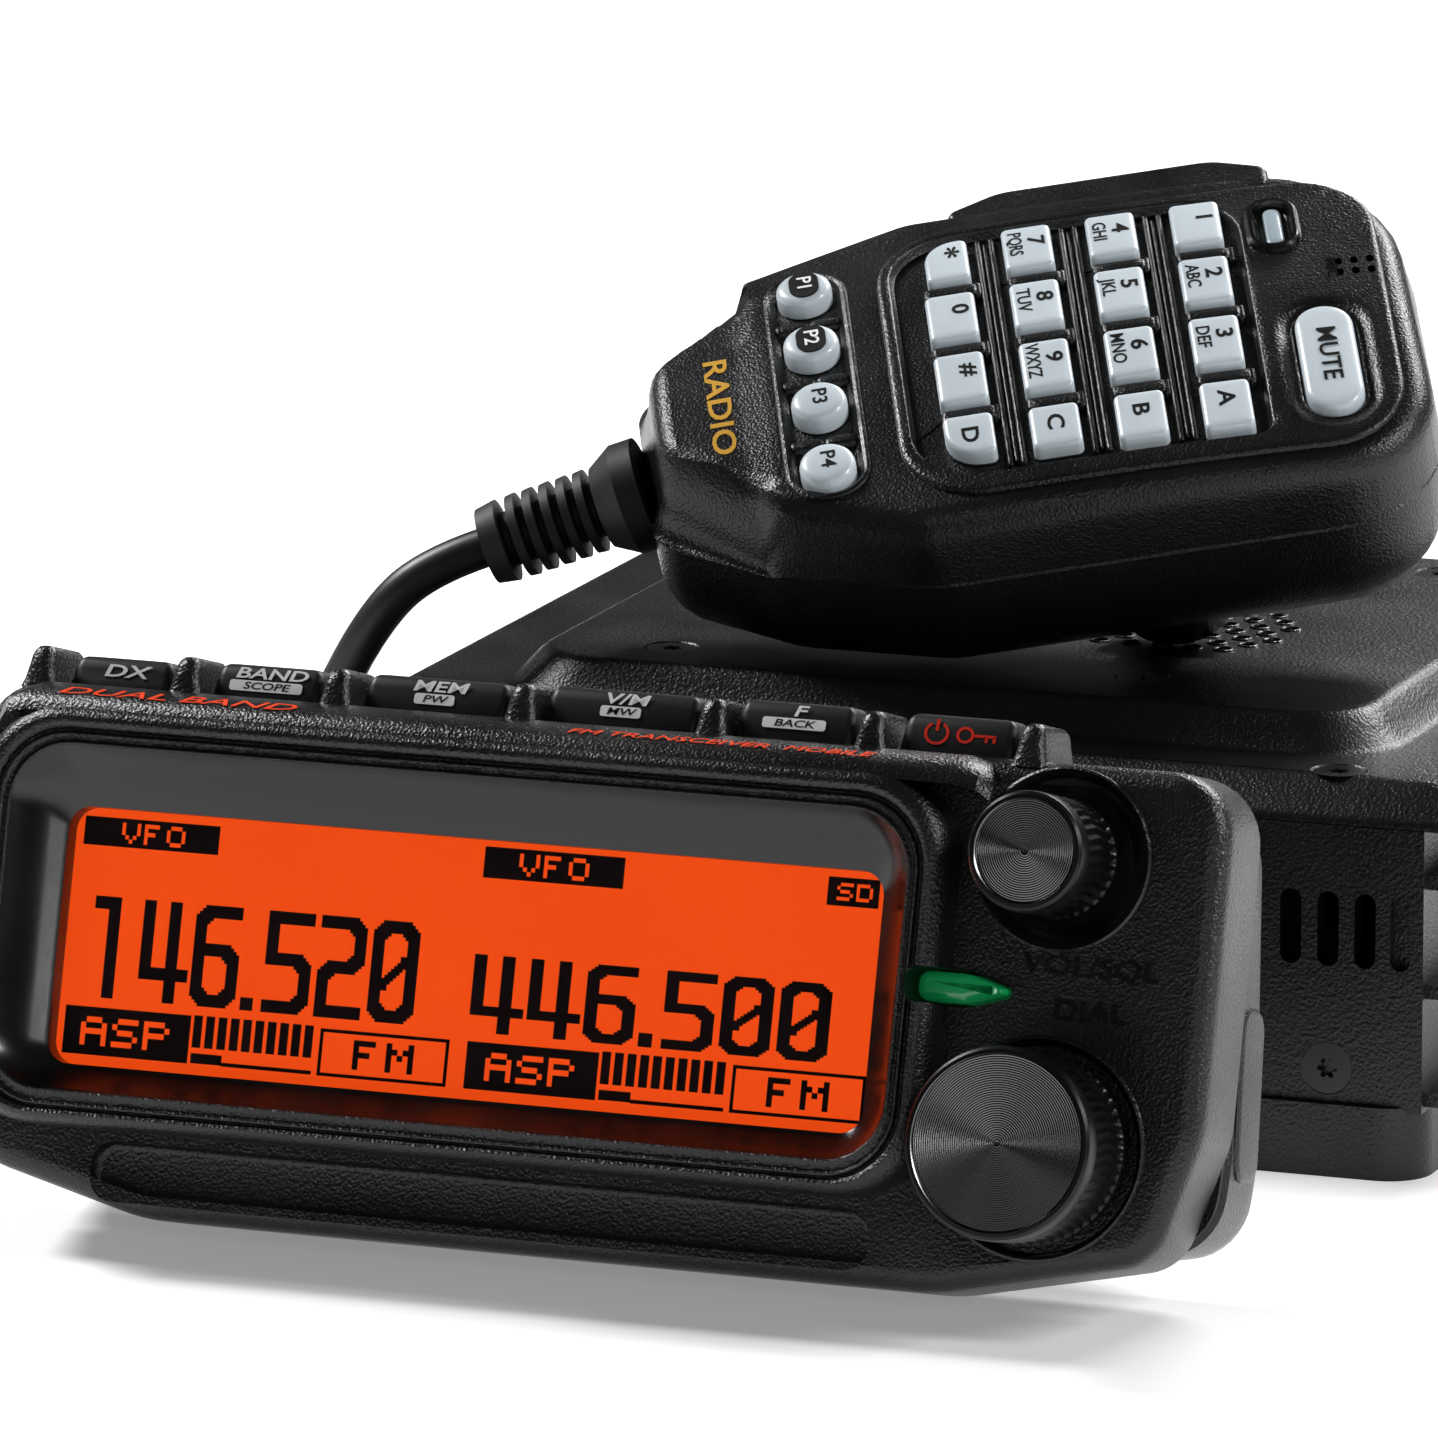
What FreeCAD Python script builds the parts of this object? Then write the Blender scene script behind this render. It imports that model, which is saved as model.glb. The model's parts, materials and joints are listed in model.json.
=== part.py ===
"""Mobile transceiver: main unit, tilting control head and a hand microphone resting on top.

Millimetres. The origin is the centre of the main unit's flat underside, +Z up and -Y towards the
operator. The control head and the microphone are drawn lying flat in frames of their own (third
axis out of the face) and are then placed.
"""
import FreeCAD, Part
import math
import os

V = FreeCAD.Vector

# ---- main unit -------------------------------------------------------------------------------
BODY_W = 133.4            # over the top cover
BODY_D = 110.0
BODY_H = 43.0             # to the flat margin of the top cover
CORE_W = 122.0            # between the roots of the side fins
LEDGE_H = 8.0             # base ledge under the front wall
LEDGE_PROUD = 1.0
BEVEL = 4.5               # bevel round the top cover
PLATEAU_H = 4.0           # raised middle of the top cover
WALL = 3.0
FIN_T = 1.6
SIDE_FIN_Z = (8.0, 19.9, 31.9)
BRACKET_HOLE_R = 1.65     # tapping hole for M4
BRACKET_HOLE_PITCH = 56.0
BRACKET_HOLE_Z = 14.8
FAN_Z = 20.6
FAN_BORE = 15.6
ANTENNA_X = 38.0
ANTENNA_R = 7.94          # 5/8-24 coaxial socket
GLAND_X = -40.0
SOCKET_X = -44.0          # modular microphone socket
SOCKET_Z = 21.0
VENT_X = (46.1, 50.3, 54.45, 58.4)
FRONT_SCREW_Z = 11.7

# ---- control head ----------------------------------------------------------------------------
HEAD_AT = V(-8.5, -127.9, 30.4)
HEAD_LEAN = 16.0          # degrees the face leans back
HEAD_W = 139.0
HEAD_TOP = 29.0
HEAD_FOOT = -26.5
FRONT_T = 12.0            # front case, behind the knob panel
HEAD_T = 25.0             # to the back of the rear case
REAR_INSET = 2.0          # rear case's top below the front case's
REAR_FOOT = -20.9
REAR_W = 138.0
FRAME_T = 5.5             # display frame, in front of the knob panel
LCD = (-57.5, 33.5, -11.0, 16.1)
LCD_CORNER = 2.5
KNOB_A = 52.2
VOL_B = 19.0
VOL_R = 6.25
DIAL_B = -10.8
DIAL_R = 10.0
KNOB_REACH = 13.0
TOP_KEYS = (
    ("key_dx", -55.1, 12.2), ("key_band", -38.5, 12.9), ("key_memory", -19.5, 17.0),
    ("key_vfo", 1.3, 17.8), ("key_function", 20.5, 13.7), ("key_power", 38.4, 13.2))
TOP_KEY_H = 6.7
RIB_H = 6.1
KEY_RIBS = (-63.5, -47.0, -30.0, -9.2, 12.0, 29.5, 47.0)
HINGE_B = -0.8            # tilt axis, in the head's frame
HINGE_C = -38.6
PIN_R = 2.5

# ---- hand microphone -------------------------------------------------------------------------
MIC_AT = V(9.4, -17.3, 82.5)
MIC_X = V(0.9220, 0.3570, 0.1484)
MIC_Y = V(-0.3837, 0.7966, 0.4672)
MIC_T = 26.5
MIC_SEAM = -11.0
MIC_WALL = 2.2
KEY_W, KEY_H = 5.5, 8.4
KEY_PITCH_X, KEY_PITCH_Y = 9.4, 10.75
KEYPAD = (("1", "4", "7", "star"), ("2", "5", "8", "0"), ("3", "6", "9", "hash"), ("a", "b", "c", "d"))
P_KEY_X = -29.9
P_KEY_PITCH = 10.2
P_KEY_R = 3.1
BOOT_FROM = V(-50.0, -2.0, -11.4)
BOOT_DROOP = 13.0
BOOT_L = 19.0
LENS_X, LENS_Y = (21.2, 23.6), (11.4, 17.6)

# ---- microphone cord -------------------------------------------------------------------------
CORD_D = 4.5
COIL_AT = V(-100.5, -15.0, 0.0)
COIL_MID = 25.0           # radius at the middle of the turns
COIL_TURNS_WIDE = 2
COIL_TURNS_HIGH = 3
PLUG_TIP_Y = -69.0        # end of the plug's strain relief
LEAD = (                  # from the boot's end to the coil
    (-60.6, -37.5, 55.2), (-66.5, -38.7, 48.9), (-73.5, -36.5, 36.8), (-76.4, -44.8, 25.8),
    (-75.3, -55.9, 22.3), (-79.3, -63.2, 14.2), (-88.2, -64.1, 6.0), (-102.9, -56.7, 2.5),
    (-110.6, -43.6, 2.4), (-119.8, -34.3, 2.4))
TAIL = (                  # from the coil's top turn to the plug
    (-73.3, -14.0, 11.2), (-73.2, -26.0, 8.6), (-73.6, -38.5, 4.6), (-74.2, -51.5, 2.4),
    (-74.4, -65.0, 2.4), (-73.4, -78.3, 2.9), (-65.2, -91.5, 8.1), (-53.1, -92.9, 15.6),
    (-44.0, -83.3, 21.0))


# ---- helpers ---------------------------------------------------------------------------------
def box(x0, x1, y0, y1, z0, z1):
    return Part.makeBox(x1 - x0, y1 - y0, z1 - z0, V(x0, y0, z0))


def rod(radius, start, along, length):
    return Part.makeCylinder(radius, length, start, along)


def cone(r0, r1, start, along, length):
    return Part.makeCone(r0, r1, length, start, along)


def fuse(first, *rest):
    return first.fuse(list(rest)).removeSplitter()


def rounded_wire(corners, z):
    """A closed outline at height z, each corner (x, y, radius) turned by a tangent arc."""
    edges = []
    ends = []
    count = len(corners)
    for i, (x, y, radius) in enumerate(corners):
        here = V(x, y, z)
        back = (V(*corners[i - 1][:2], z) - here).normalize()
        ahead = (V(*corners[(i + 1) % count][:2], z) - here).normalize()
        half = back.getAngle(ahead) / 2
        reach = radius / math.tan(half)
        middle = here + (back + ahead).normalize() * (radius / math.sin(half) - radius)
        ends.append((here + back * reach, middle, here + ahead * reach))
    for i, (start, middle, end) in enumerate(ends):
        edges.append(Part.Arc(start, middle, end).toShape())
        edges.append(Part.makeLine(end, ends[(i + 1) % count][0]))
    return Part.Wire(edges)


def prism(corners, z0, z1):
    return Part.Face(rounded_wire(corners, z0)).extrude(V(0, 0, z1 - z0))


def rectangle(x0, x1, y0, y1, radius):
    return [(x0, y0, radius), (x1, y0, radius), (x1, y1, radius), (x0, y1, radius)]


def slab(x0, x1, y0, y1, z0, z1, radius):
    return prism(rectangle(x0, x1, y0, y1, radius), z0, z1)


def frustum(low, high):
    """A solid between two rounded rectangles, each (x0, x1, y0, y1, radius, z)."""
    wires = [rounded_wire(rectangle(*r[:5]), r[5]) for r in (low, high)]
    return Part.makeLoft(wires, True, True)


def flat_edges(shape, z):
    """The edges that lie wholly at height z."""
    return [e for e in shape.Edges if abs(e.BoundBox.ZMin - z) < 1e-6 and abs(e.BoundBox.ZMax - z) < 1e-6]


def soften(shape, z, radius):
    return shape.makeFillet(radius, flat_edges(shape, z))


def frame_of(origin, x_axis, y_axis):
    z_axis = x_axis.cross(y_axis)
    matrix = FreeCAD.Matrix(
        x_axis.x, y_axis.x, z_axis.x, origin.x,
        x_axis.y, y_axis.y, z_axis.y, origin.y,
        x_axis.z, y_axis.z, z_axis.z, origin.z, 0, 0, 0, 1)
    return FreeCAD.Placement(matrix)


LEAN = math.radians(HEAD_LEAN)
HEAD_FRAME = frame_of(HEAD_AT, V(1, 0, 0), V(0, math.sin(LEAN), math.cos(LEAN)))
MIC_X = MIC_X.normalize()
MIC_Y = (MIC_Y - MIC_X * MIC_Y.dot(MIC_X)).normalize()
MIC_FRAME = frame_of(MIC_AT, MIC_X, MIC_Y)
HINGE_AT = HEAD_FRAME.multVec(V(0, HINGE_B, HINGE_C))
PARTS = {}


def keep(name, shape, frame=None):
    shape = shape.copy()
    if frame:
        shape.Placement = frame.multiply(shape.Placement)
    PARTS[name] = shape


def group(*solids):
    return Part.makeCompound(list(solids))


# ---- main unit -------------------------------------------------------------------------------
def chassis():
    half_w, half_d = CORE_W / 2, BODY_D / 2
    floor_top = BODY_H - BEVEL
    back = half_d - 3.0
    base = slab(-half_w, half_w, -half_d - LEDGE_PROUD, half_d, 0, LEDGE_H, 5.0)
    walls = box(-half_w, half_w, -half_d, back, LEDGE_H - 0.5, floor_top)
    body = base.fuse(walls)
    for z in SIDE_FIN_Z:
        for side in (-1, 1):
            outer = side * (BODY_W / 2 - 0.8)
            low, high = sorted((side * (half_w - 1), outer))
            body = body.fuse(box(low, high, -half_d + 1.5, half_d - 1.5, z, z + FIN_T))
    for i in range(-13, 14):
        x = i * 4.5
        clear = abs(x) < 18.5 or abs(x - ANTENNA_X) < 14 or abs(x - GLAND_X) < 9
        if not clear:
            body = body.fuse(box(x - 0.8, x + 0.8, back - 1, half_d, LEDGE_H - 0.5, floor_top - 2))
    cavity = box(-half_w + WALL, half_w - WALL, -half_d + WALL, back - 4, WALL, floor_top + 1)
    body = body.cut(cavity)
    for side in (-1, 1):
        for y in (-BRACKET_HOLE_PITCH / 2, BRACKET_HOLE_PITCH / 2):
            start = V(side * (half_w - 8), y, BRACKET_HOLE_Z)
            body = body.fuse(rod(4.0, start, V(side, 0, 0), 6.0))
            body = body.cut(rod(BRACKET_HOLE_R, start - V(side, 0, 0), V(side, 0, 0), 12))
    for x in VENT_X[:-1]:
        slot = slab(x - 1.2, x + 1.2, 23.0, 31.2, -4.5, 0.5, 1.15)
        slot.rotate(V(0, 0, 0), V(1, 0, 0), 90)
        body = body.cut(slot.translated(V(0, -half_d, 0)))
    blind = slab(VENT_X[-1] - 1.1, VENT_X[-1] + 1.1, 23.0, 31.2, -1.5, 0.5, 1.05)
    blind.rotate(V(0, 0, 0), V(1, 0, 0), 90)
    body = body.cut(blind.translated(V(0, -half_d, 0)))
    cuts = [
        cone(2.9, 1.6, V(VENT_X[1], -half_d - 0.01, FRONT_SCREW_Z), V(0, 1, 0), 1.4),
        rod(1.6, V(VENT_X[1], -half_d + 1, FRONT_SCREW_Z), V(0, 1, 0), 3),
        rod(FAN_BORE, V(0, back - 5, FAN_Z), V(0, 1, 0), 6),
        rod(6.5, V(ANTENNA_X, back - 5, FAN_Z), V(0, 1, 0), 6),
        rod(5.0, V(GLAND_X, back - 5, FAN_Z), V(0, 1, 0), 6),
        box(SOCKET_X - 7, SOCKET_X + 7, -half_d - 1, -half_d + WALL + 1, SOCKET_Z - 6, SOCKET_Z + 6)]
    return body.cut(cuts).removeSplitter()


PLATEAU_FOOT = (-52.0, 52.0, -42.8, 48.0, 10.0)
PLATEAU_TOP = (-47.5, 47.5, -39.0, 44.2, 8.0)
PLATEAU_SCREWS = ((-33.7, -31.4), (20.0, -28.0), (-33.7, 37.0), (33.7, 37.0))
MARGIN_SCREWS = ((-49.2, -48.2), (49.2, -48.2), (-49.2, 51.2), (49.2, 51.2))
SPEAKER_AT = V(14.0, -2.0, 0)


def top_cover():
    half_w, half_d = BODY_W / 2, BODY_D / 2
    split = BODY_H - BEVEL
    low = (-half_w, half_w, -half_d, half_d, 2.0, split)
    high = (-half_w + BEVEL, half_w - BEVEL, -half_d + BEVEL, half_d - BEVEL, 1.0, BODY_H)
    cover = frustum(low, high)
    hill = frustum(PLATEAU_FOOT + (BODY_H - 0.2,), PLATEAU_TOP + (BODY_H + PLATEAU_H,))
    cover = cover.fuse(hill)
    shell = box(-half_w + 7.5, half_w - 7.5, -half_d + 6, half_d - 9, split - 1, BODY_H - 2)
    x0, x1, y0, y1, radius = PLATEAU_TOP
    attic = slab(x0 + 1, x1 - 1, y0 + 1, y1 - 1, BODY_H - 3, BODY_H + PLATEAU_H - 2, radius - 1)
    cover = cover.cut([shell, attic])
    holes = []
    for row in range(7):
        for column in range(9):
            x = SPEAKER_AT.x + (column - 4) * 3.6 + (row % 2) * 1.8 - 0.9
            y = SPEAKER_AT.y + (row - 3) * 3.2
            if math.hypot(x - SPEAKER_AT.x, y - SPEAKER_AT.y) < 14.5:
                holes.append(rod(0.8, V(x, y, BODY_H), V(0, 0, 1), PLATEAU_H + 1))
    for (x, y), z in [(p, BODY_H + PLATEAU_H) for p in PLATEAU_SCREWS] + [(p, BODY_H) for p in MARGIN_SCREWS]:
        holes.append(cone(1.5, 3.0, V(x, y, z - 1.5), V(0, 0, 1), 1.51))
        holes.append(rod(1.55, V(x, y, z - 6), V(0, 0, 1), 6))
    return cover.cut(holes)


def screw(x, y, z, direction=V(0, 0, 1)):
    """A countersunk screw with a six-lobed recess, its head's face at (x, y, z)."""
    top = V(x, y, z)
    back = direction * -1
    head = cone(2.8, 1.45, top + back * 0.1, back, 1.35)
    body = head.fuse(rod(1.45, top + back * 1.4, back, 2.4))
    side = V(1, 0, 0) if abs(direction.x) < 0.5 else V(0, 1, 0)
    cuts = [rod(0.75, top + back * 1.1, direction, 1.2)]
    for i in range(6):
        lobe = FreeCAD.Rotation(direction, 60 * i).multVec(side) * 0.85
        cuts.append(rod(0.3, top + lobe + back * 1.1, direction, 1.2))
    return body.cut(cuts)


def case_screws():
    screws = [screw(x, y, BODY_H + PLATEAU_H) for x, y in PLATEAU_SCREWS]
    screws += [screw(x, y, BODY_H) for x, y in MARGIN_SCREWS]
    screws.append(screw(VENT_X[1], -BODY_D / 2, FRONT_SCREW_Z, V(0, -1, 0)))
    return group(*screws)


def main_board():
    board = box(-55, 55, -50, 36, 7.0, 8.6)
    shield = box(-34, -6, -30, 8, 8.6, 16.0)
    power_module = box(24, 48, -4, 30, 8.6, 15.0)
    capacitors = [rod(4.0, V(x, 24, 8.6), V(0, 0, 1), 12) for x in (-46, -36)]
    posts = [rod(3.0, V(x, y, 3.0), V(0, 0, 1), 4.0) for x in (-50, 50) for y in (-44, 30)]
    return group(board, shield, power_module, *capacitors, *posts)


def loudspeaker():
    top = BODY_H + PLATEAU_H - 2.1
    at = SPEAKER_AT
    rim = rod(18.0, at + V(0, 0, top - 2.5), V(0, 0, 1), 2.5)
    basket = cone(9.0, 17.0, at + V(0, 0, top - 8.5), V(0, 0, 1), 6.2)
    magnet = rod(9.0, at + V(0, 0, top - 14), V(0, 0, 1), 5.7)
    dish = cone(4.0, 15.0, at + V(0, 0, top - 5.5), V(0, 0, 1), 5.6)
    return fuse(rim, basket, magnet).cut(dish)


def fan_frame():
    y1 = BODY_D / 2 - 7.2
    frame = box(-17, 17, y1 - 10, y1, FAN_Z - 17, FAN_Z + 17)
    frame = frame.cut(rod(FAN_BORE, V(0, y1 - 11, FAN_Z), V(0, 1, 0), 12))
    hub = rod(6.0, V(0, y1 - 1.2, FAN_Z), V(0, 1, 0), 1.2)
    arms = [box(-16, 16, y1 - 1.2, y1, FAN_Z - 1, FAN_Z + 1), box(-1, 1, y1 - 1.2, y1, FAN_Z - 16, FAN_Z + 16)]
    spindle = rod(1.2, V(0, y1 - 8, FAN_Z), V(0, 1, 0), 7.5)
    return fuse(frame, hub, spindle, *arms)


def fan_rotor():
    y1 = BODY_D / 2 - 7.2
    rotor = rod(5.6, V(0, y1 - 9, FAN_Z), V(0, 1, 0), 7.2)
    for i in range(7):
        blade = box(4.5, 15.0, -0.5, 0.5, -4.2, 4.2)
        blade.rotate(V(0, 0, 0), V(1, 0, 0), 55)
        blade.rotate(V(0, 0, 0), V(0, 1, 0), 360 / 7 * i)
        rotor = rotor.fuse(blade.translated(V(0, y1 - 5.4, FAN_Z)))
    rotor = rotor.common(rod(15.1, V(0, y1 - 9, FAN_Z), V(0, 1, 0), 7.2))
    return rotor.cut(rod(1.25, V(0, y1 - 8.2, FAN_Z), V(0, 1, 0), 8)).removeSplitter()


def antenna_socket():
    back = BODY_D / 2 - 3.0
    at = V(ANTENNA_X, back, FAN_Z)
    flange = box(ANTENNA_X - 12.5, ANTENNA_X + 12.5, back, back + 2, FAN_Z - 12.5, FAN_Z + 12.5)
    barrel = rod(ANTENNA_R, at, V(0, 1, 0), 14.0)
    tail = rod(6.4, at - V(0, 6, 0), V(0, 1, 0), 7.0)
    bore = rod(5.6, at + V(0, 4, 0), V(0, 1, 0), 11)
    contact = rod(2.8, at + V(0, 3, 0), V(0, 1, 0), 9.5).cut(rod(1.95, at + V(0, 5, 0), V(0, 1, 0), 9))
    return fuse(flange, barrel, tail).cut(bore).fuse(contact).removeSplitter()


def power_gland():
    at = V(GLAND_X, BODY_D / 2 - 3.0, FAN_Z)
    neck = rod(4.9, at - V(0, 4.5, 0), V(0, 1, 0), 6)
    lip = cone(7.0, 5.6, at, V(0, 1, 0), 3.0)
    collar = rod(6.5, at - V(0, 6.2, 0), V(0, 1, 0), 2.0)
    return fuse(neck, lip, collar).cut(rod(3.2, at - V(0, 7, 0), V(0, 1, 0), 12))


def microphone_socket():
    front = -BODY_D / 2
    shell = box(SOCKET_X - 7, SOCKET_X + 7, front, front + 15, SOCKET_Z - 6, SOCKET_Z + 6)
    mouth = box(SOCKET_X - 5.0, SOCKET_X + 5.0, front - 1, front + 12, SOCKET_Z - 3.5, SOCKET_Z + 3.5)
    latch = box(SOCKET_X - 2.0, SOCKET_X + 2.0, front - 1, front + 8, SOCKET_Z - 5.0, SOCKET_Z - 3.0)
    return shell.cut([mouth, latch])


def head_bracket():
    x, front = HEAD_AT.x, -BODY_D / 2
    flange = box(x - 20.4, x + 20.4, front - 2.6, front, LEDGE_H, 24.0)
    plate = box(x - 20.4, x + 20.4, HINGE_AT.y + 3, front, LEDGE_H, LEDGE_H + 2.4)
    bracket = flange.fuse(plate)
    for side in (-1, 1):
        inner, outer = sorted((x + side * 17.4, x + side * 20.4))
        ear = box(inner, outer, HINGE_AT.y, front, LEDGE_H, HINGE_AT.z)
        eye = rod(6.0, V(inner, HINGE_AT.y, HINGE_AT.z), V(1, 0, 0), outer - inner)
        bracket = bracket.fuse([ear, eye])
        bracket = bracket.cut(box(inner - 1, outer + 1, HINGE_AT.y + 14, front - 6, 15.0, 40))
    for side in (-1, 1):
        bracket = bracket.cut(rod(1.7, V(x + side * 10, front - 3, 17), V(0, 1, 0), 4))
    return bracket.cut(rod(PIN_R + 0.05, HINGE_AT - V(30, 0, 0), V(1, 0, 0), 60)).removeSplitter()


def tilt_pin():
    pin = rod(PIN_R, HINGE_AT - V(23.6, 0, 0), V(1, 0, 0), 47.2)
    for side in (-1, 1):
        head = rod(4.6, HINGE_AT + V(side * 20.5, 0, 0), V(side, 0, 0), 3.2)
        pin = pin.fuse(head)
    return pin.removeSplitter()


# ---- control head (x along the face, y up it, z out of it) -----------------------------------
def head_outline(inset):
    side, top, foot = HEAD_W / 2 - inset, HEAD_TOP - inset, HEAD_FOOT + inset
    shoulder = foot + 5.0
    return [
        (-46, foot, 20), (42, foot, 20), (side - 4, shoulder, 6), (side, -8, 12),
        (side, top, 7), (-side, top, 7), (-side, -8, 12), (-side + 4, shoulder, 6)]


def rear_outline(inset):
    """The rear case: fuller at its lower corners and narrower at the top than the front case."""
    top, foot = HEAD_TOP - REAR_INSET - inset, REAR_FOOT + inset
    low, wide, high = REAR_W / 2 - 0.6 - inset, REAR_W / 2 - inset, REAR_W / 2 - 3.0 - inset
    return [
        (-60 + inset, foot, 10), (60 - inset, foot, 10), (low, foot + 1.5, 7), (wide, -10, 14),
        (high, top, 7), (-high, top, 7), (-wide, -10, 14), (-low, foot + 1.5, 7)]


def lamp_shape(grow):
    """A drop on its side, pointing away from the display."""
    left, right, middle, half = 38.3 - grow, 47.6 + grow, 4.9, 1.55 + grow
    return [(left, middle - half, 1.2), (left + 5.2, middle - half, 4.0), (right, middle - 0.3, 0.25),
            (right, middle + 0.3, 0.25), (left + 5.2, middle + half, 4.0), (left, middle + half, 1.2)]


def head_front_case():
    x0, x1, y0, y1 = LCD
    case = soften(prism(head_outline(0), -FRONT_T, 0), 0, 2.4)
    frame = soften(slab(-67.0, 41.2, -17.6, 26.3, -2.6, FRAME_T, 9.0), FRAME_T, 2.2)
    boss = rod(11.0, V(KNOB_A, VOL_B, -FRONT_T), V(0, 0, 1), FRONT_T + 0.6)
    boss = boss.makeFillet(2.0, flat_edges(boss, 0.6))
    case = fuse(case, frame, boss)
    for x in KEY_RIBS:
        rib = slab(x - 1.3, x + 1.3, -11.5, -1.0, 0, RIB_H, 1.25)
        rib.rotate(V(0, 0, 0), V(1, 0, 0), -90)
        case = case.fuse(rib.translated(V(0, HEAD_TOP - 1.6, -12.5)))
    mouth = frustum((x0 - 0.2, x1 + 0.2, y0 - 0.2, y1 + 0.2, LCD_CORNER, 1.4),
                    (x0 - 5.4, x1 + 3.6, y0 - 2.9, y1 + 6.3, 5.0, FRAME_T + 0.01))
    cuts = [
        mouth,
        slab(x0, x1, y0, y1, -3, 2, LCD_CORNER),
        slab(x0 - 2.6, x1 + 2.6, y0 - 2.6, y1 + 2.6, -3, 0, 2.0),
        prism(head_outline(2.2), -FRONT_T - 1, -2.2),
        slab(-51.7, 35.0, -25.3, -18.4, -1.6, 1, 2.5),
        cone(8.9, 9.7, V(KNOB_A, VOL_B, -0.6), V(0, 0, 1), 1.21),
        cone(10.6, 11.2, V(KNOB_A, DIAL_B, -0.9), V(0, 0, 1), 0.91),
        rod(3.3, V(KNOB_A, VOL_B, -4), V(0, 0, 1), 5),
        rod(3.3, V(KNOB_A, DIAL_B, -4), V(0, 0, 1), 5),
        prism(lamp_shape(0), -3, 3.2)]
    case = case.cut(cuts)
    for _, x, width in TOP_KEYS:
        case = case.cut(box(x - width / 2 - 0.3, x + width / 2 + 0.3, HEAD_TOP - 4, HEAD_TOP + 1, -10.3, -2.9))
    return case


def head_rear_case():
    case = soften(prism(rear_outline(0), -HEAD_T, -FRONT_T), -HEAD_T, 3.0)
    case = case.cut(prism(rear_outline(2.2), -HEAD_T + 2.2, -FRONT_T + 1))
    for side in (-1, 1):
        inner, outer = sorted((side * 13.0, side * 17.0))
        arm = box(inner, outer, HINGE_B - 6, HINGE_B + 6, HINGE_C, -HEAD_T + 0.5)
        eye = rod(6.0, V(inner, HINGE_B, HINGE_C), V(1, 0, 0), outer - inner)
        case = case.fuse([arm, eye])
    return case.cut(rod(PIN_R + 0.06, V(-30, HINGE_B, HINGE_C), V(1, 0, 0), 60)).removeSplitter()


def display_window():
    x0, x1, y0, y1 = LCD
    return slab(x0 - 2.4, x1 + 2.4, y0 - 2.4, y1 + 2.4, -1.2, 0.0, 1.8)


def display_panel():
    x0, x1, y0, y1 = LCD
    glass = slab(x0 - 2.4, x1 + 2.4, y0 - 2.4, y1 + 2.4, -2.6, -1.25, 1.8)
    light_guide = slab(x0 - 2.0, x1 + 2.0, y0 - 2.0, y1 + 2.0, -5.0, -2.6, 1.8)
    return group(glass, light_guide)


def head_board():
    board = slab(-62, 62, -18.5, 21.5, -10.4, -8.9, 2.0)
    solids = [board]
    for y in (VOL_B, DIAL_B):
        size = 5.4 if y == DIAL_B else 4.8
        coder = box(KNOB_A - size, KNOB_A + size, max(y - size, -18), min(y + size, 21.4), -8.9, -7.4)
        solids.append(coder.cut(rod(2.3, V(KNOB_A, y, -9.5), V(0, 0, 1), 3)))
    solids.append(box(-30, -8, -8, 8, -12.6, -10.4))
    return group(*solids)


def status_lamp():
    return soften(prism(lamp_shape(0), -3.0, 1.4), 1.4, 0.2)


def top_key(x, width):
    low = (x - width / 2, x + width / 2, -9.95, -3.25, 1.2, 0)
    high = (x - width / 2 + 0.9, x + width / 2 - 0.9, -9.3, -4.0, 1.4, TOP_KEY_H)
    key = frustum(low, high)
    key = key.makeFillet(0.5, flat_edges(key, TOP_KEY_H))
    key.rotate(V(0, 0, 0), V(1, 0, 0), -90)
    key = key.mirror(V(0, 0, 0), V(0, 0, 1))
    return key.translated(V(0, HEAD_TOP - 3.0, 0))


def plunger(y):
    disc = rod(4.4, V(KNOB_A, y, -6.6), V(0, 0, 1), 1.5)
    tail = rod(2.2, V(KNOB_A, y, -8.2), V(0, 0, 1), 1.7)
    nose = rod(1.4, V(KNOB_A, y, -5.2), V(0, 0, 1), 5.0)
    return fuse(disc, tail, nose)


def knob(y, radius, teeth):
    body = rod(radius, V(KNOB_A, y, 1.0), V(0, 0, 1), KNOB_REACH - 1.0)
    body = body.makeFillet(0.7, flat_edges(body, KNOB_REACH))
    grooves = []
    for i in range(teeth):
        angle = 2 * math.pi * i / teeth
        at = V(KNOB_A + radius * math.cos(angle), y + radius * math.sin(angle), 2.6)
        grooves.append(rod(0.24, at, V(0, 0, 1), KNOB_REACH - 4.6))
    stub = rod(3.0, V(KNOB_A, y, -4.9), V(0, 0, 1), 6.2)
    return body.cut(grooves).fuse(stub).cut(rod(1.45, V(KNOB_A, y, -5), V(0, 0, 1), 5.1))


# ---- hand microphone (x towards its top end, y across, z out of the keypad) -------------------
def mic_outline(inset):
    half, end = 26.0 - inset, 37.0 - inset
    tail = -50.0 + inset
    return [(tail, -11 + inset * 0.6, 6), (-37, -19.5 + inset, 14), (-20, -half, 16), (end, -half, 13 - inset),
            (end, half, 13 - inset), (-20, half, 16), (-37, 19.5 - inset, 14), (tail, 11 - inset * 0.6, 6)]


def mic_keys():
    """Each keypad key's name and centre."""
    for row, names in enumerate(KEYPAD):
        for column, name in enumerate(names):
            yield name, (1.5 - column) * KEY_PITCH_X, (1.5 - row) * KEY_PITCH_Y


def p_keys():
    for i in range(4):
        yield "p%d" % (i + 1), P_KEY_X, (1.5 - i) * P_KEY_PITCH


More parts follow.
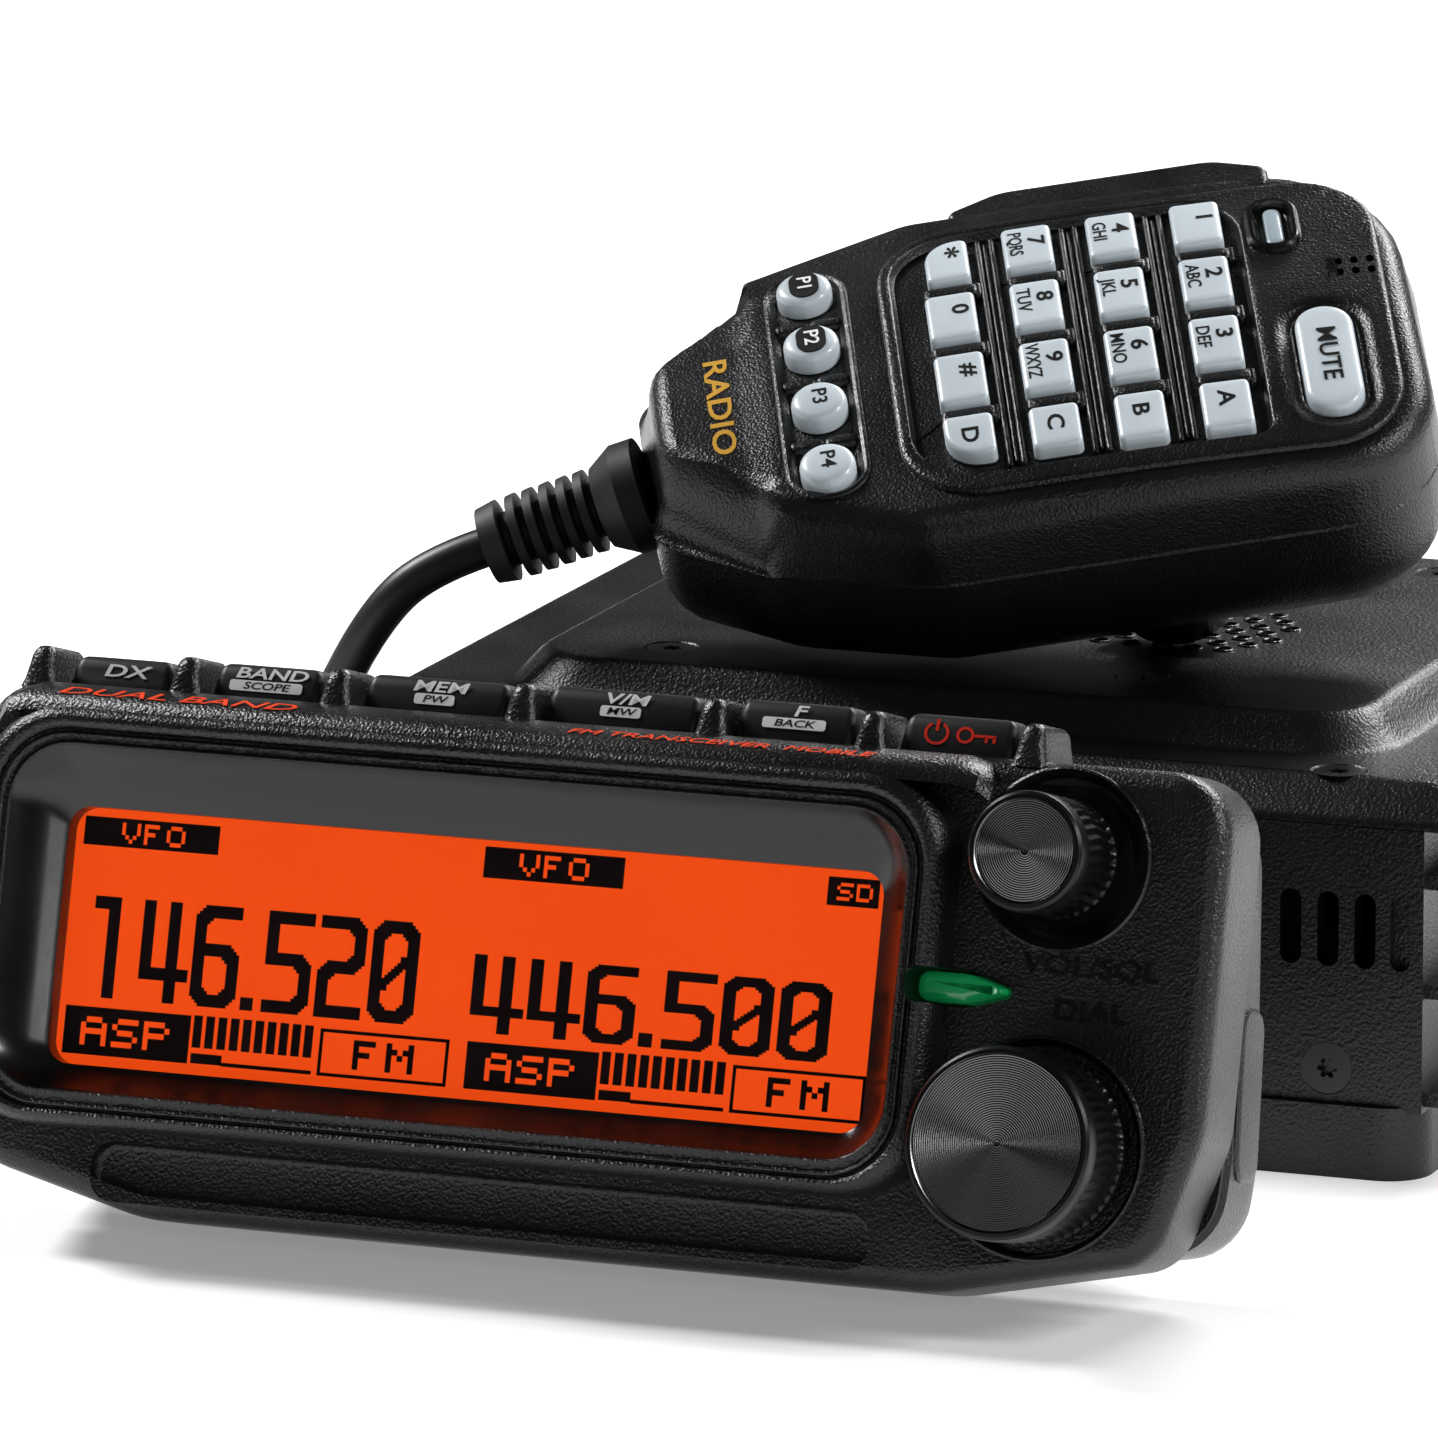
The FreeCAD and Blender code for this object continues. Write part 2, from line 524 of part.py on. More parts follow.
def mic_front_shell():
    shell = soften(prism(mic_outline(0), MIC_SEAM, 0), 0, 3.6)
    rim = soften(slab(-21.6, 20.2, -22.9, 22.9, -2.0, 0.8, 7.0), 0.8, 0.6)
    shell = shell.fuse(rim)
    cuts = [
        prism(mic_outline(MIC_WALL), MIC_SEAM - 1, -3.4),
        slab(-20.2, 18.8, -21.6, 21.6, -1.2, 2, 6.0),
        slab(-34.0, -25.8, -19.6, 19.6, -0.9, 2, 3.9),
        slab(21.6, 30.6, -20.9, -0.5, -0.7, 2, 4.4),
        slab(22.2, 29.8, -20.0, -1.4, -5, 2, 3.7),
        slab(LENS_X[0], LENS_X[1], *LENS_Y, -5, 2, 1.15),
        box(-13.4, 23.4, 20.0, 31.0, -10.2, -1.3)]
    for _, x, y in mic_keys():
        w, h = KEY_W / 2 + 0.25, KEY_H / 2 + 0.25
        cuts.append(slab(x - w, x + w, y - h, y + h, -5, 2, 0.7))
    for _, x, y in p_keys():
        cuts.append(rod(P_KEY_R + 0.25, V(x, y, -5), V(0, 0, 1), 7))
    for row in (-1, 0, 1):
        for side in (-0.9, 0.9):
            cuts.append(rod(0.45, V(30.6 + row * 1.7, 5.6 + side, -5), V(0, 0, 1), 7))
    return shell.cut(cuts)


def mic_rear_shell():
    shell = soften(prism(mic_outline(0), -MIC_T, MIC_SEAM), -MIC_T, 8.0)
    hollow = soften(prism(mic_outline(MIC_WALL), -MIC_T + MIC_WALL, MIC_SEAM + 1), -MIC_T + MIC_WALL, 5.0)
    return shell.cut(hollow)


def mic_key(x, y):
    w, h = KEY_W / 2, KEY_H / 2
    cap = slab(x - w, x + w, y - h, y + h, -4.2, 1.0, 0.7)
    cap = cap.makeFillet(0.45, flat_edges(cap, 1.0))
    return cap.fuse(slab(x - w - 0.7, x + w + 0.7, y - h - 0.7, y + h + 0.7, -4.6, -3.8, 0.7)).removeSplitter()


def mic_p_key(x, y):
    cap = rod(P_KEY_R, V(x, y, -4.2), V(0, 0, 1), 5.4)
    cap = cap.makeFillet(0.8, flat_edges(cap, 1.2))
    return cap.fuse(rod(P_KEY_R + 0.7, V(x, y, -4.6), V(0, 0, 1), 0.8)).removeSplitter()


def mic_mute_key():
    cap = slab(22.5, 29.5, -19.7, -1.7, -4.2, 1.2, 3.45)
    cap = cap.makeFillet(0.8, flat_edges(cap, 1.2))
    return cap.fuse(slab(21.7, 30.3, -20.5, -0.9, -4.6, -3.8, 4.0)).removeSplitter()


def mic_talk_bar():
    corners = [(-13.0, 23.0, 0.6), (23.0, 23.0, 0.6), (23.0, 27.0, 1.5), (17.0, 29.4, 8.0),
               (-7.0, 29.4, 8.0), (-13.0, 27.0, 1.5)]
    bar = prism(corners, -9.9, -1.6)
    return bar.makeFillet(0.8, flat_edges(bar, -1.6))


def mic_lamp_lens():
    lens = slab(*LENS_X, *LENS_Y, -3.4, 0.5, 1.15)
    return lens.makeFillet(0.3, flat_edges(lens, 0.5))


def mic_board():
    board = prism(mic_outline(3.2), -8.0, -6.4).cut(box(-15, 25, 21, 30, -9, -5))
    capsule = rod(4.4, V(29.8, 6.0, -6.4), V(0, 0, 1), 2.6)
    return group(board.cut(rod(2.0, V(-30, 0, -9), V(0, 0, 1), 4)), capsule)


def boot_direction():
    droop = math.radians(BOOT_DROOP)
    return V(-math.cos(droop), 0, -math.sin(droop))


def mic_boot():
    """Strain relief: a flare, six ribs and an end block, turned about its own axis."""
    profile = [(0, 0), (6.3, 0), (6.3, 2.6), (4.6, 5.4), (3.1, 5.8)]
    ribs, pitch, first = 5, 2.0, 6.2
    for i in range(ribs):
        at = first + i * pitch
        profile += [(3.1, at), (4.75, at + 0.15), (4.65, at + 1.15), (3.1, at + 1.3)]
    profile += [(3.1, BOOT_L - 2.6), (4.7, BOOT_L - 2.3), (4.3, BOOT_L), (0, BOOT_L), (0, 0)]
    face = Part.Face(Part.makePolygon([V(r, 0, h) for r, h in profile]))
    boot = face.revolve(V(0, 0, 0), V(0, 0, 1), 360)
    boot.Placement = FreeCAD.Placement(BOOT_FROM, FreeCAD.Rotation(V(0, 0, 1), boot_direction()))
    return boot.cut(box(-50, -30, -20, 20, -30, 10))


def mic_hanger():
    """The hanging button on the back, whose rim rests on the top cover."""
    at = V(6.0, -9.0, -MIC_T)
    down = 7.0
    stem = rod(4.0, at, V(0, 0, -1), down - 3.0)
    button = cone(7.0, 6.0, at - V(0, 0, down - 3.4), V(0, 0, -1), 3.4)
    return fuse(stem, button)


# ---- microphone cord -------------------------------------------------------------------------
def cord_tube(name, points):
    """A tube of straight runs joined by tangent arcs, each as large as its two runs allow."""
    points = [V(*p) for p in points]
    runs = [(b - a).Length for a, b in zip(points, points[1:])]
    edges = []
    radii = []
    start = points[0]
    for i in range(1, len(points) - 1):
        here = points[i]
        back, ahead = (points[i - 1] - here).normalize(), (points[i + 1] - here).normalize()
        half = back.getAngle(ahead) / 2
        reach = 0.45 * min(runs[i - 1], runs[i])
        radius = reach * math.tan(half)
        middle = here + (back + ahead).normalize() * (radius / math.sin(half) - radius)
        edges.append(Part.LineSegment(start, here + back * reach).toShape())
        edges.append(Part.Arc(here + back * reach, middle, here + ahead * reach).toShape())
        start = here + ahead * reach
        radii.append(radius)
    edges.append(Part.LineSegment(start, points[-1]).toShape())
    path = Part.Wire(edges)
    ring = Part.Wire(Part.makeCircle(CORD_D / 2, points[0], points[1] - points[0]))
    tube = path.makePipeShell([ring], True, False)
    expected = math.pi * CORD_D ** 2 / 4 * path.Length
    print("%s: length %.1f mm, volume over section times length %.4f" % (name, path.Length, tube.Volume / expected))
    print("  runs", [round(r, 1) for r in runs])
    print("  radii", [round(r, 1) for r in radii])
    return tube


def cord_lead():
    exit_at = BOOT_FROM + boot_direction() * BOOT_L
    start = MIC_FRAME.multVec(exit_at)
    print("cord leaves the boot at", [round(c, 2) for c in start])
    return cord_tube("cord_lead", [tuple(start)] + list(LEAD))


def cord_coil():
    half = COIL_TURNS_WIDE * CORD_D / 2
    ring = rod(COIL_MID + half, COIL_AT, V(0, 0, 1), COIL_TURNS_HIGH * CORD_D)
    ring = ring.cut(rod(COIL_MID - half, COIL_AT, V(0, 0, 1), COIL_TURNS_HIGH * CORD_D))
    return ring.makeFillet(1.8, flat_edges(ring, 0) + flat_edges(ring, COIL_TURNS_HIGH * CORD_D))


def cord_tail():
    return cord_tube("cord_tail", list(TAIL) + [(SOCKET_X, PLUG_TIP_Y, SOCKET_Z)])


def cord_plug():
    front = -BODY_D / 2
    body = box(SOCKET_X - 4.8, SOCKET_X + 4.8, front - 7.0, front + 11, SOCKET_Z - 3.3, SOCKET_Z + 3.3)
    relief = cone(2.6, 3.3, V(SOCKET_X, PLUG_TIP_Y, SOCKET_Z), V(0, 1, 0), front - 6.5 - PLUG_TIP_Y)
    return body.fuse(relief).removeSplitter()


# ---- assembly --------------------------------------------------------------------------------
def build():
    keep("chassis", chassis())
    keep("top_cover", top_cover())
    keep("case_screws", case_screws())
    keep("main_board", main_board())
    keep("loudspeaker", loudspeaker())
    keep("fan_frame", fan_frame())
    keep("fan_rotor", fan_rotor())
    keep("antenna_socket", antenna_socket())
    keep("power_gland", power_gland())
    keep("microphone_socket", microphone_socket())
    keep("head_bracket", head_bracket())
    keep("tilt_pin", tilt_pin())
    for make in (head_front_case, head_rear_case, display_window, display_panel, head_board, status_lamp):
        keep(make.__name__, make(), HEAD_FRAME)
    for name, x, width in TOP_KEYS:
        keep(name, top_key(x, width), HEAD_FRAME)
    for name, y, radius, teeth in (("volume", VOL_B, VOL_R, 40), ("dial", DIAL_B, DIAL_R, 60)):
        keep(name + "_plunger", plunger(y), HEAD_FRAME)
        keep(name + "_knob", knob(y, radius, teeth), HEAD_FRAME)
    for make in (mic_front_shell, mic_rear_shell, mic_mute_key, mic_talk_bar, mic_lamp_lens, mic_board,
                 mic_boot, mic_hanger):
        keep(make.__name__, make(), MIC_FRAME)
    for name, x, y in mic_keys():
        keep("mic_key_" + name, mic_key(x, y), MIC_FRAME)
    for name, x, y in p_keys():
        keep("mic_key_" + name, mic_p_key(x, y), MIC_FRAME)
    for make in (cord_lead, cord_coil, cord_tail, cord_plug):
        keep(make.__name__, make())


build()
os.makedirs("parts", exist_ok=True)
for name, shape in sorted(PARTS.items()):
    if not shape.isValid() or shape.Volume <= 0:
        print("INVALID", name, shape.ShapeType, shape.Volume)
    shape.exportStep("parts/%s.step" % name)
print(len(PARTS), "nodes; tilt axis", [round(c, 3) for c in HINGE_AT])
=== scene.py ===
"""Mobile transceiver: main unit, tilting control head and a keypad hand microphone lying on top.

Pieces are drawn in millimetres in three frames: the main unit's (world), the control head's
(a along the face, b up it, c out of it) and the microphone's (x towards its top end, y across,
z out of the keypad).
"""
import json
import math

import bmesh
import bpy
from mathutils import Matrix, Vector


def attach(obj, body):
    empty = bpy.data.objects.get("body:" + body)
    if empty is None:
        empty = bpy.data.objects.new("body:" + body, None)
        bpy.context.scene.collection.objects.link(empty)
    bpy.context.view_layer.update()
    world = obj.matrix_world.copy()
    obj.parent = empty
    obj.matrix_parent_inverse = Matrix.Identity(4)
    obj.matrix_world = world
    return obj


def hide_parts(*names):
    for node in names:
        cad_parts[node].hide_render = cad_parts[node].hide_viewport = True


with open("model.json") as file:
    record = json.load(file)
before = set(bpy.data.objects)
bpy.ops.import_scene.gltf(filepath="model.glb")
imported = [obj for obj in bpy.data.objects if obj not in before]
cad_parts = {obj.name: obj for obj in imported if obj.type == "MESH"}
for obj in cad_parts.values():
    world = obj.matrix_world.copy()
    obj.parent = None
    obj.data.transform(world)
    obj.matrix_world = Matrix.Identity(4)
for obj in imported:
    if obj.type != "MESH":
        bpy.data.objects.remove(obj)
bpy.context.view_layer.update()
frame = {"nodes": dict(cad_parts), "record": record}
NODES = frame["nodes"]
JOINTS = {j["name"]: j for j in frame["record"]["behaviour"]["joints"]}
MM = 0.001

# ---- the three frames ------------------------------------------------------------------------
KNOB_A, VOL_B, DIAL_B = 52.2, 19.0, -10.8


def basis(x, y, z, origin):
    """Matrix that takes millimetres in a frame to metres in the world."""
    rotation = Matrix((x, y, z)).transposed().to_4x4()
    return Matrix.Translation(origin) @ rotation @ Matrix.Scale(MM, 4)


def head_matrix():
    out = Vector(JOINTS["dial_turn"]["axis"]).normalized()
    up = -Vector(JOINTS["key_dx_press"]["axis"]).normalized()
    side = up.cross(out)
    dial = Vector(JOINTS["dial_turn"]["pos_m"])
    return basis(side, up, out, dial - (side * KNOB_A + up * DIAL_B) * MM)


def mic_matrix():
    out = -Vector(JOINTS["mic_key_1_press"]["axis"]).normalized()
    across = -Vector(JOINTS["mic_talk_press"]["axis"]).normalized()
    return basis(across.cross(out), across, out, Vector((9.4, -17.3, 82.5)) * MM)


WORLD = Matrix.Scale(MM, 4)
HEAD = head_matrix()
MIC = mic_matrix()


def link(name, data):
    """A new object in the scene for some data."""
    thing = bpy.data.objects.new(name, data)
    bpy.context.scene.collection.objects.link(thing)
    return thing


def evaluated_mesh(source):
    """The mesh that an object gives with its present settings and modifiers."""
    bpy.context.view_layer.update()
    return bpy.data.meshes.new_from_object(source.evaluated_get(bpy.context.evaluated_depsgraph_get()))


# ---- camera ----------------------------------------------------------------------------------
LENS, SENSOR = 343.6, 36.0
EYE = Vector((490.5, -1418.5, 362.1)) * MM
LOOK = Vector((-0.3422, 0.9152, -0.2130)).normalized()


def make_camera():
    data = bpy.data.cameras.new("camera")
    data.lens, data.sensor_width = LENS, SENSOR
    data.clip_start, data.clip_end = 0.05, 30.0
    camera = link("camera", data)
    camera.matrix_world = Matrix.Translation(EYE) @ LOOK.to_track_quat("-Z", "Y").to_matrix().to_4x4()
    bpy.context.scene.camera = camera


make_camera()

# ---- microphone cord -------------------------------------------------------------------------
CORD_D = 4.5
COIL_X, COIL_Y, COIL_MID = -100.5, -15.0, 25.0
LEAD = (
    (-53.78, -35.71, 57.73),
    (-60.6, -37.5, 55.2), (-66.5, -38.7, 48.9), (-73.5, -36.5, 36.8), (-76.4, -44.8, 25.8),
    (-75.3, -55.9, 22.3), (-79.3, -63.2, 14.2), (-88.2, -64.1, 6.0), (-102.9, -56.7, 2.5),
    (-110.6, -43.6, 2.4))
TAIL = (
    (-73.3, -14.0, 11.2), (-73.2, -26.0, 8.6), (-73.6, -38.5, 4.6), (-74.2, -51.5, 2.4),
    (-74.4, -65.0, 2.4), (-73.4, -78.3, 2.9), (-65.2, -91.5, 8.1), (-53.1, -92.9, 15.6),
    (-44.0, -83.3, 21.0), (-44.0, -69.0, 21.0))

TURN_POINTS, LAST_TURN = 16, 0.625        # points to a turn, and the part of a turn that ends the coil


def coil_points():
    """The wound turns: out and in over three layers, clockwise, easing from one to the next."""
    radius = {"O": COIL_MID + CORD_D / 2, "I": COIL_MID - CORD_D / 2}
    height = {"B": CORD_D / 2, "M": CORD_D * 1.5, "T": CORD_D * 2.5}
    sequence = [name for name in ("OB", "IB", "IM", "OM", "IT") for _ in range(TURN_POINTS)]
    sequence += ["OT"] * int(TURN_POINTS * LAST_TURN + 0.5)
    start, step, easing = math.radians(225), 2 * math.pi / TURN_POINTS, 4
    points = []
    for i, name in enumerate(sequence):
        before = sequence[max(i - easing, 0)]
        part = sum(1 for k in range(easing) if sequence[max(i - k, 0)] == name) / easing
        r = radius[before[0]] * (1 - part) + radius[name[0]] * part
        z = height[before[1]] * (1 - part) + height[name[1]] * part
        angle = start - step * i
        reach = r / math.cos(step / 2) * 0.999
        points.append((COIL_X + reach * math.cos(angle), COIL_Y + reach * math.sin(angle), z))
    return points


def make_cord():
    points = list(LEAD) + coil_points() + list(TAIL)
    curve = bpy.data.curves.new("mic_cord_curve", "CURVE")
    curve.dimensions = "3D"
    spline = curve.splines.new("NURBS")
    spline.points.add(len(points) - 1)
    for slot, p in zip(spline.points, points):
        slot.co = (p[0] * MM, p[1] * MM, p[2] * MM, 1.0)
    spline.order_u = 3
    spline.use_endpoint_u = True
    spline.resolution_u = 8
    spline.use_smooth = True
    source = link("mic_cord_curve", curve)
    path = [list(vert.co) for vert in evaluated_mesh(source).vertices]
    curve.bevel_depth = CORD_D / 2 * MM
    curve.bevel_resolution = 6
    curve.use_fill_caps = True
    tube = evaluated_mesh(source)
    tube.name = "mic_cord"
    bpy.data.objects.remove(source)
    cord = link("mic_cord", tube)
    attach(cord, "main_unit")
    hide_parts("cord_lead", "cord_coil", "cord_tail")
    return cord


CORD = make_cord()


# ---- materials -------------------------------------------------------------------------------
def new_material(name, colour, roughness, metallic=0.0, specular=0.5):
    mat = bpy.data.materials.new(name)
    mat.use_nodes = True
    nodes, links = mat.node_tree.nodes, mat.node_tree.links
    shader = nodes["Principled BSDF"]
    shader.inputs["Base Color"].default_value = (*colour, 1)
    shader.inputs["Roughness"].default_value = roughness
    shader.inputs["Metallic"].default_value = metallic
    shader.inputs["Specular IOR Level"].default_value = specular
    return mat, nodes, links, shader


def noise(nodes, links, coords, scale, detail=2.0, rough=0.5):
    node = nodes.new("ShaderNodeTexNoise")
    node.inputs["Scale"].default_value = scale
    node.inputs["Detail"].default_value = detail
    node.inputs["Roughness"].default_value = rough
    links.new(coords, node.inputs["Vector"])
    return node.outputs["Fac"]


def remap(nodes, links, value, low, high, to_low, to_high):
    node = nodes.new("ShaderNodeMapRange")
    for key, number in (("From Min", low), ("From Max", high), ("To Min", to_low), ("To Max", to_high)):
        node.inputs[key].default_value = number
    links.new(value, node.inputs["Value"])
    return node.outputs["Result"]


def blend_colour(nodes, links, factor, dark, light):
    node = nodes.new("ShaderNodeMix")
    node.data_type = "RGBA"
    node.inputs["A"].default_value = (*dark, 1)
    node.inputs["B"].default_value = (*light, 1)
    links.new(factor, node.inputs["Factor"])
    return node.outputs["Result"]


def bump(nodes, links, height, distance):
    node = nodes.new("ShaderNodeBump")
    node.inputs["Distance"].default_value = distance
    node.inputs["Strength"].default_value = 1.0
    links.new(height, node.inputs["Height"])
    return node.outputs["Normal"]


def grained(name, colour, roughness, grain, depth, specular):
    """Moulded or painted surface with a spark-eroded grain and slow changes of gloss."""
    mat, nodes, links, shader = new_material(name, colour, roughness, 0.0, specular)
    coords = nodes.new("ShaderNodeTexCoord").outputs["Object"]
    cells = nodes.new("ShaderNodeTexVoronoi")
    cells.feature = "SMOOTH_F1"
    cells.inputs["Scale"].default_value = grain
    cells.inputs["Smoothness"].default_value = 0.6
    links.new(coords, cells.inputs["Vector"])
    fine = noise(nodes, links, coords, grain * 1.7, 3.0, 0.6)
    slow = noise(nodes, links, coords, 70.0, 3.0)
    mix = nodes.new("ShaderNodeMath")
    mix.operation = "MULTIPLY_ADD"
    links.new(fine, mix.inputs[0])
    mix.inputs[1].default_value = 0.7
    links.new(cells.outputs["Distance"], mix.inputs[2])
    links.new(bump(nodes, links, mix.outputs[0], depth), shader.inputs["Normal"])
    shine = remap(nodes, links, slow, 0.3, 0.7, roughness - 0.06, roughness + 0.06)
    links.new(shine, shader.inputs["Roughness"])
    dark, light = tuple(c * 0.7 for c in colour), tuple(c * 1.5 for c in colour)
    links.new(blend_colour(nodes, links, fine, dark, light), shader.inputs["Base Color"])
    return mat


def smooth(name, colour, roughness, metallic=0.0, specular=0.5, scale=900.0, depth=0.000008):
    """Smooth finish with faint mould flow and handling marks."""
    mat, nodes, links, shader = new_material(name, colour, roughness, metallic, specular)
    coords = nodes.new("ShaderNodeTexCoord").outputs["Object"]
    fine = noise(nodes, links, coords, scale, 4.0, 0.6)
    slow = noise(nodes, links, coords, 90.0, 3.0)
    links.new(bump(nodes, links, fine, depth), shader.inputs["Normal"])
    shine = remap(nodes, links, slow, 0.3, 0.7, roughness - 0.04, roughness + 0.04)
    links.new(shine, shader.inputs["Roughness"])
    dark, light = tuple(c * 0.85 for c in colour), tuple(min(1.0, c * 1.15) for c in colour)
    links.new(blend_colour(nodes, links, slow, dark, light), shader.inputs["Base Color"])
    return mat


def lcd_material():
    """Backlit panel: even orange light with slow random changes of tone."""
    mat, nodes, links, shader = new_material("lcd_orange", (0.25, 0.02, 0.002), 0.35, 0.0, 0.2)
    coords = nodes.new("ShaderNodeTexCoord").outputs["Object"]
    slow = noise(nodes, links, coords, 40.0, 1.0)
    colour = blend_colour(nodes, links, slow, (0.76, 0.058, 0.0035), (0.84, 0.070, 0.0045))
    links.new(colour, shader.inputs["Emission Color"])
    shader.inputs["Emission Strength"].default_value = 0.93
    return mat


MAT = {
    "cast": grained("cast_paint", (0.0026, 0.0026, 0.0029), 0.33, 2600.0, 0.00006, 0.42),
    "grain": grained("grained_plastic", (0.0022, 0.0022, 0.0024), 0.31, 2800.0, 0.00007, 0.45),
    "mic": grained("mic_grain", (0.0024, 0.0024, 0.0026), 0.32, 3000.0, 0.00006, 0.42),
    "gloss": smooth("satin_plastic", (0.002, 0.002, 0.002), 0.22),
    "plain": smooth("plain_plastic", (0.007, 0.007, 0.007), 0.45),
    "rubber": smooth("black_rubber_skin", (0.006, 0.006, 0.0062), 0.55, 0.0, 0.35, 2500.0, 0.00002),
    "keys": smooth("key_rubber_skin", (0.0045, 0.0045, 0.005), 0.45, 0.0, 0.32, 3000.0, 0.00001),
    "jacket": smooth("cord_jacket_skin", (0.005, 0.005, 0.0052), 0.42, 0.0, 0.4, 1500.0, 0.00001),
    "anodised": smooth("black_anodised", (0.02, 0.02, 0.021), 0.30, 0.9, 0.5, 4000.0, 0.000006),
    "nickel": smooth("nickel_plate", (0.60, 0.58, 0.54), 0.22, 1.0),
    "steel": smooth("black_zinc", (0.045, 0.045, 0.048), 0.32, 0.9),
    "ink": smooth("white_ink", (0.78, 0.78, 0.78), 0.55, 0.0, 0.2),
    "black_ink": smooth("black_ink_print", (0.004, 0.004, 0.004), 0.5, 0.0, 0.2),
    "orange_ink": smooth("orange_ink_print", (0.72, 0.045, 0.003), 0.5, 0.0, 0.2),
    "gold_ink": smooth("gold_ink_print", (0.62, 0.33, 0.035), 0.42, 0.2, 0.4),
    "red_ink": smooth("red_ink_print", (0.62, 0.02, 0.008), 0.5, 0.0, 0.2),
    "segment": smooth("lcd_segment", (0.008, 0.003, 0.004), 0.4, 0.0, 0.1),
    "board": smooth("solder_mask", (0.012, 0.09, 0.03), 0.35),
    "lcd": lcd_material(),
}


# Plastic with an emission glow: real lamp light for the lamp lenses, painted light for the white keys.
def lamp_glow_and_painted_glow(name, colour, roughness, glow):
    mat = smooth(name, colour, roughness, 0.0, 0.5, 1800.0, 0.000006)
    shader = mat.node_tree.nodes["Principled BSDF"]
    shader.inputs["Subsurface Weight"].default_value = 0.0
    shader.inputs["Emission Color"].default_value = (*colour, 1)
    shader.inputs["Emission Strength"].default_value = glow
    shader.inputs["Coat Weight"].default_value = 0.35
    shader.inputs["Coat Roughness"].default_value = 0.08
    return mat


# The white keys' emission is painted light: a glow that brightens keys which hold no lamp.
MAT["white"] = lamp_glow_and_painted_glow("milky_keys_painted_glow", (0.50, 0.56, 0.60), 0.34, 0.08)
MAT["lamp"] = lamp_glow_and_painted_glow("lamp_milk", (0.30, 0.37, 0.41), 0.30, 0.05)
MAT["green"] = lamp_glow_and_painted_glow("green_lens_skin", (0.004, 0.21, 0.055), 0.20, 0.25)


def window_material():
    mat, nodes, links, shader = new_material("window_plate", (1, 1, 1), 0.02, 0.0, 0.35)
    shader.inputs["Transmission Weight"].default_value = 1.0
    shader.inputs["IOR"].default_value = 1.12
    coords = nodes.new("ShaderNodeTexCoord").outputs["Object"]
    slow = noise(nodes, links, coords, 120.0, 2.0)
    links.new(remap(nodes, links, slow, 0.3, 0.7, 0.01, 0.03), shader.inputs["Roughness"])
    return mat


MAT["window"] = window_material()

SLOT_MATERIAL = {
    "cast_housing": "cast", "textured_plastic": "grain", "mic_plastic": "mic", "dark_plastic": "plain",
    "key_rubber": "keys", "white_keys": "white", "black_rubber": "rubber", "cord_jacket": "jacket",
    "knob_metal": "anodised", "plated_metal": "nickel", "steel_hardware": "steel", "clear_window": "window",
    "display_panel": "lcd", "green_lens": "green", "lamp_lens": "white", "circuit_board": "board",
    "speaker_parts": "plain"}


def dress_nodes():
    """Each CAD node gets its slot's finish and smooth shading below 35 degrees."""
    for row in frame["record"]["subparts"]:
        node = NODES[row["node"]]
        node.data.materials.clear()
        node.data.materials.append(MAT[SLOT_MATERIAL[row["material_slot"]]])
        node.data.shade_smooth()
        node.data.set_sharp_from_angle(angle=math.radians(35))


dress_nodes()
CORD.data.materials.append(MAT["jacket"])


# ---- mesh helpers ----------------------------------------------------------------------------
def rounded(corners, grow=0.0, seg=8):
    """Points of a convex outline given anticlockwise as (x, y, radius), moved outwards by grow."""
    count = len(corners)
    spots = [Vector(c[:2]) for c in corners]
    sides = []
    for i in range(count):
        along = (spots[(i + 1) % count] - spots[i]).normalized()
        sides.append((spots[i] + Vector((along.y, -along.x)) * grow, along))
    ring = []
    for i in range(count):
        (p, d), (q, e) = sides[i - 1], sides[i]
        gap = q - p
        corner = p + d * ((gap.x * e.y - gap.y * e.x) / (d.x * e.y - d.y * e.x))
        turn = math.acos(max(-1.0, min(1.0, d.dot(e))))
        radius = max(corners[i][2] + grow, 0.05)
        left = Vector((-d.y, d.x))
        centre = corner - d * (radius * math.tan(turn / 2)) + left * radius
        for k in range(seg + 1):
            a = turn * k / seg
            cos, sin = math.cos(a), math.sin(a)
            spoke = Vector((-left.x * cos + left.y * sin, -left.x * sin - left.y * cos))
            ring.append(centre + spoke * radius)
    return ring


def rect(x0, x1, y0, y1, r):
    return [(x0, y0, r), (x1, y0, r), (x1, y1, r), (x0, y1, r)]


def circle(x, y, r, count=64):
    return [Vector((x + r * math.cos(2 * math.pi * i / count), y + r * math.sin(2 * math.pi * i / count)))
            for i in range(count)]


def lift(ring, z):
    return [Vector((p[0], p[1], z)) for p in ring]


def rings_of(outline, profile, seg=8):
    """Rings of an outline for each (grow, z) of a profile."""
    return [lift(rounded(outline, grow, seg), z) for grow, z in profile]


def loop_at(bm, outline, z, grow=0.0):
    return [bm.verts.new(p) for p in lift(rounded(outline, grow), z)]


def bridge(bm, low, high, mat=0):
    """Faces between two closed rows of as many vertices."""
    for i in range(len(low)):
        j = (i + 1) % len(low)
        bm.faces.new((low[i], low[j], high[j], high[i])).material_index = mat


def loft(bm, rings, mat=0, low=False, high=False):
    """Skin over closed rings with equal counts; low and high close the two ends."""
    rows = [[bm.verts.new(p) for p in ring] for ring in rings]
    for a, b in zip(rows, rows[1:]):
        bridge(bm, a, b, mat)
    if low:
        bm.faces.new(list(reversed(rows[0]))).material_index = mat
    if high:
        bm.faces.new(rows[-1]).material_index = mat
    return rows


def solid(bm, rings):
    """Closed body over rings."""
    loft(bm, rings, low=True, high=True)


def hollow(bm, start, outline, profile, mat=0, close=True):
    """Rings (grow, z) inside a face's hole, from its loop of vertices down to a floor."""
    last = start
    for grow, z in profile:
        row = loop_at(bm, outline, z, grow)
        bridge(bm, last, row, mat)
        last = row
    if close:
        bm.faces.new(last).material_index = mat
    return last


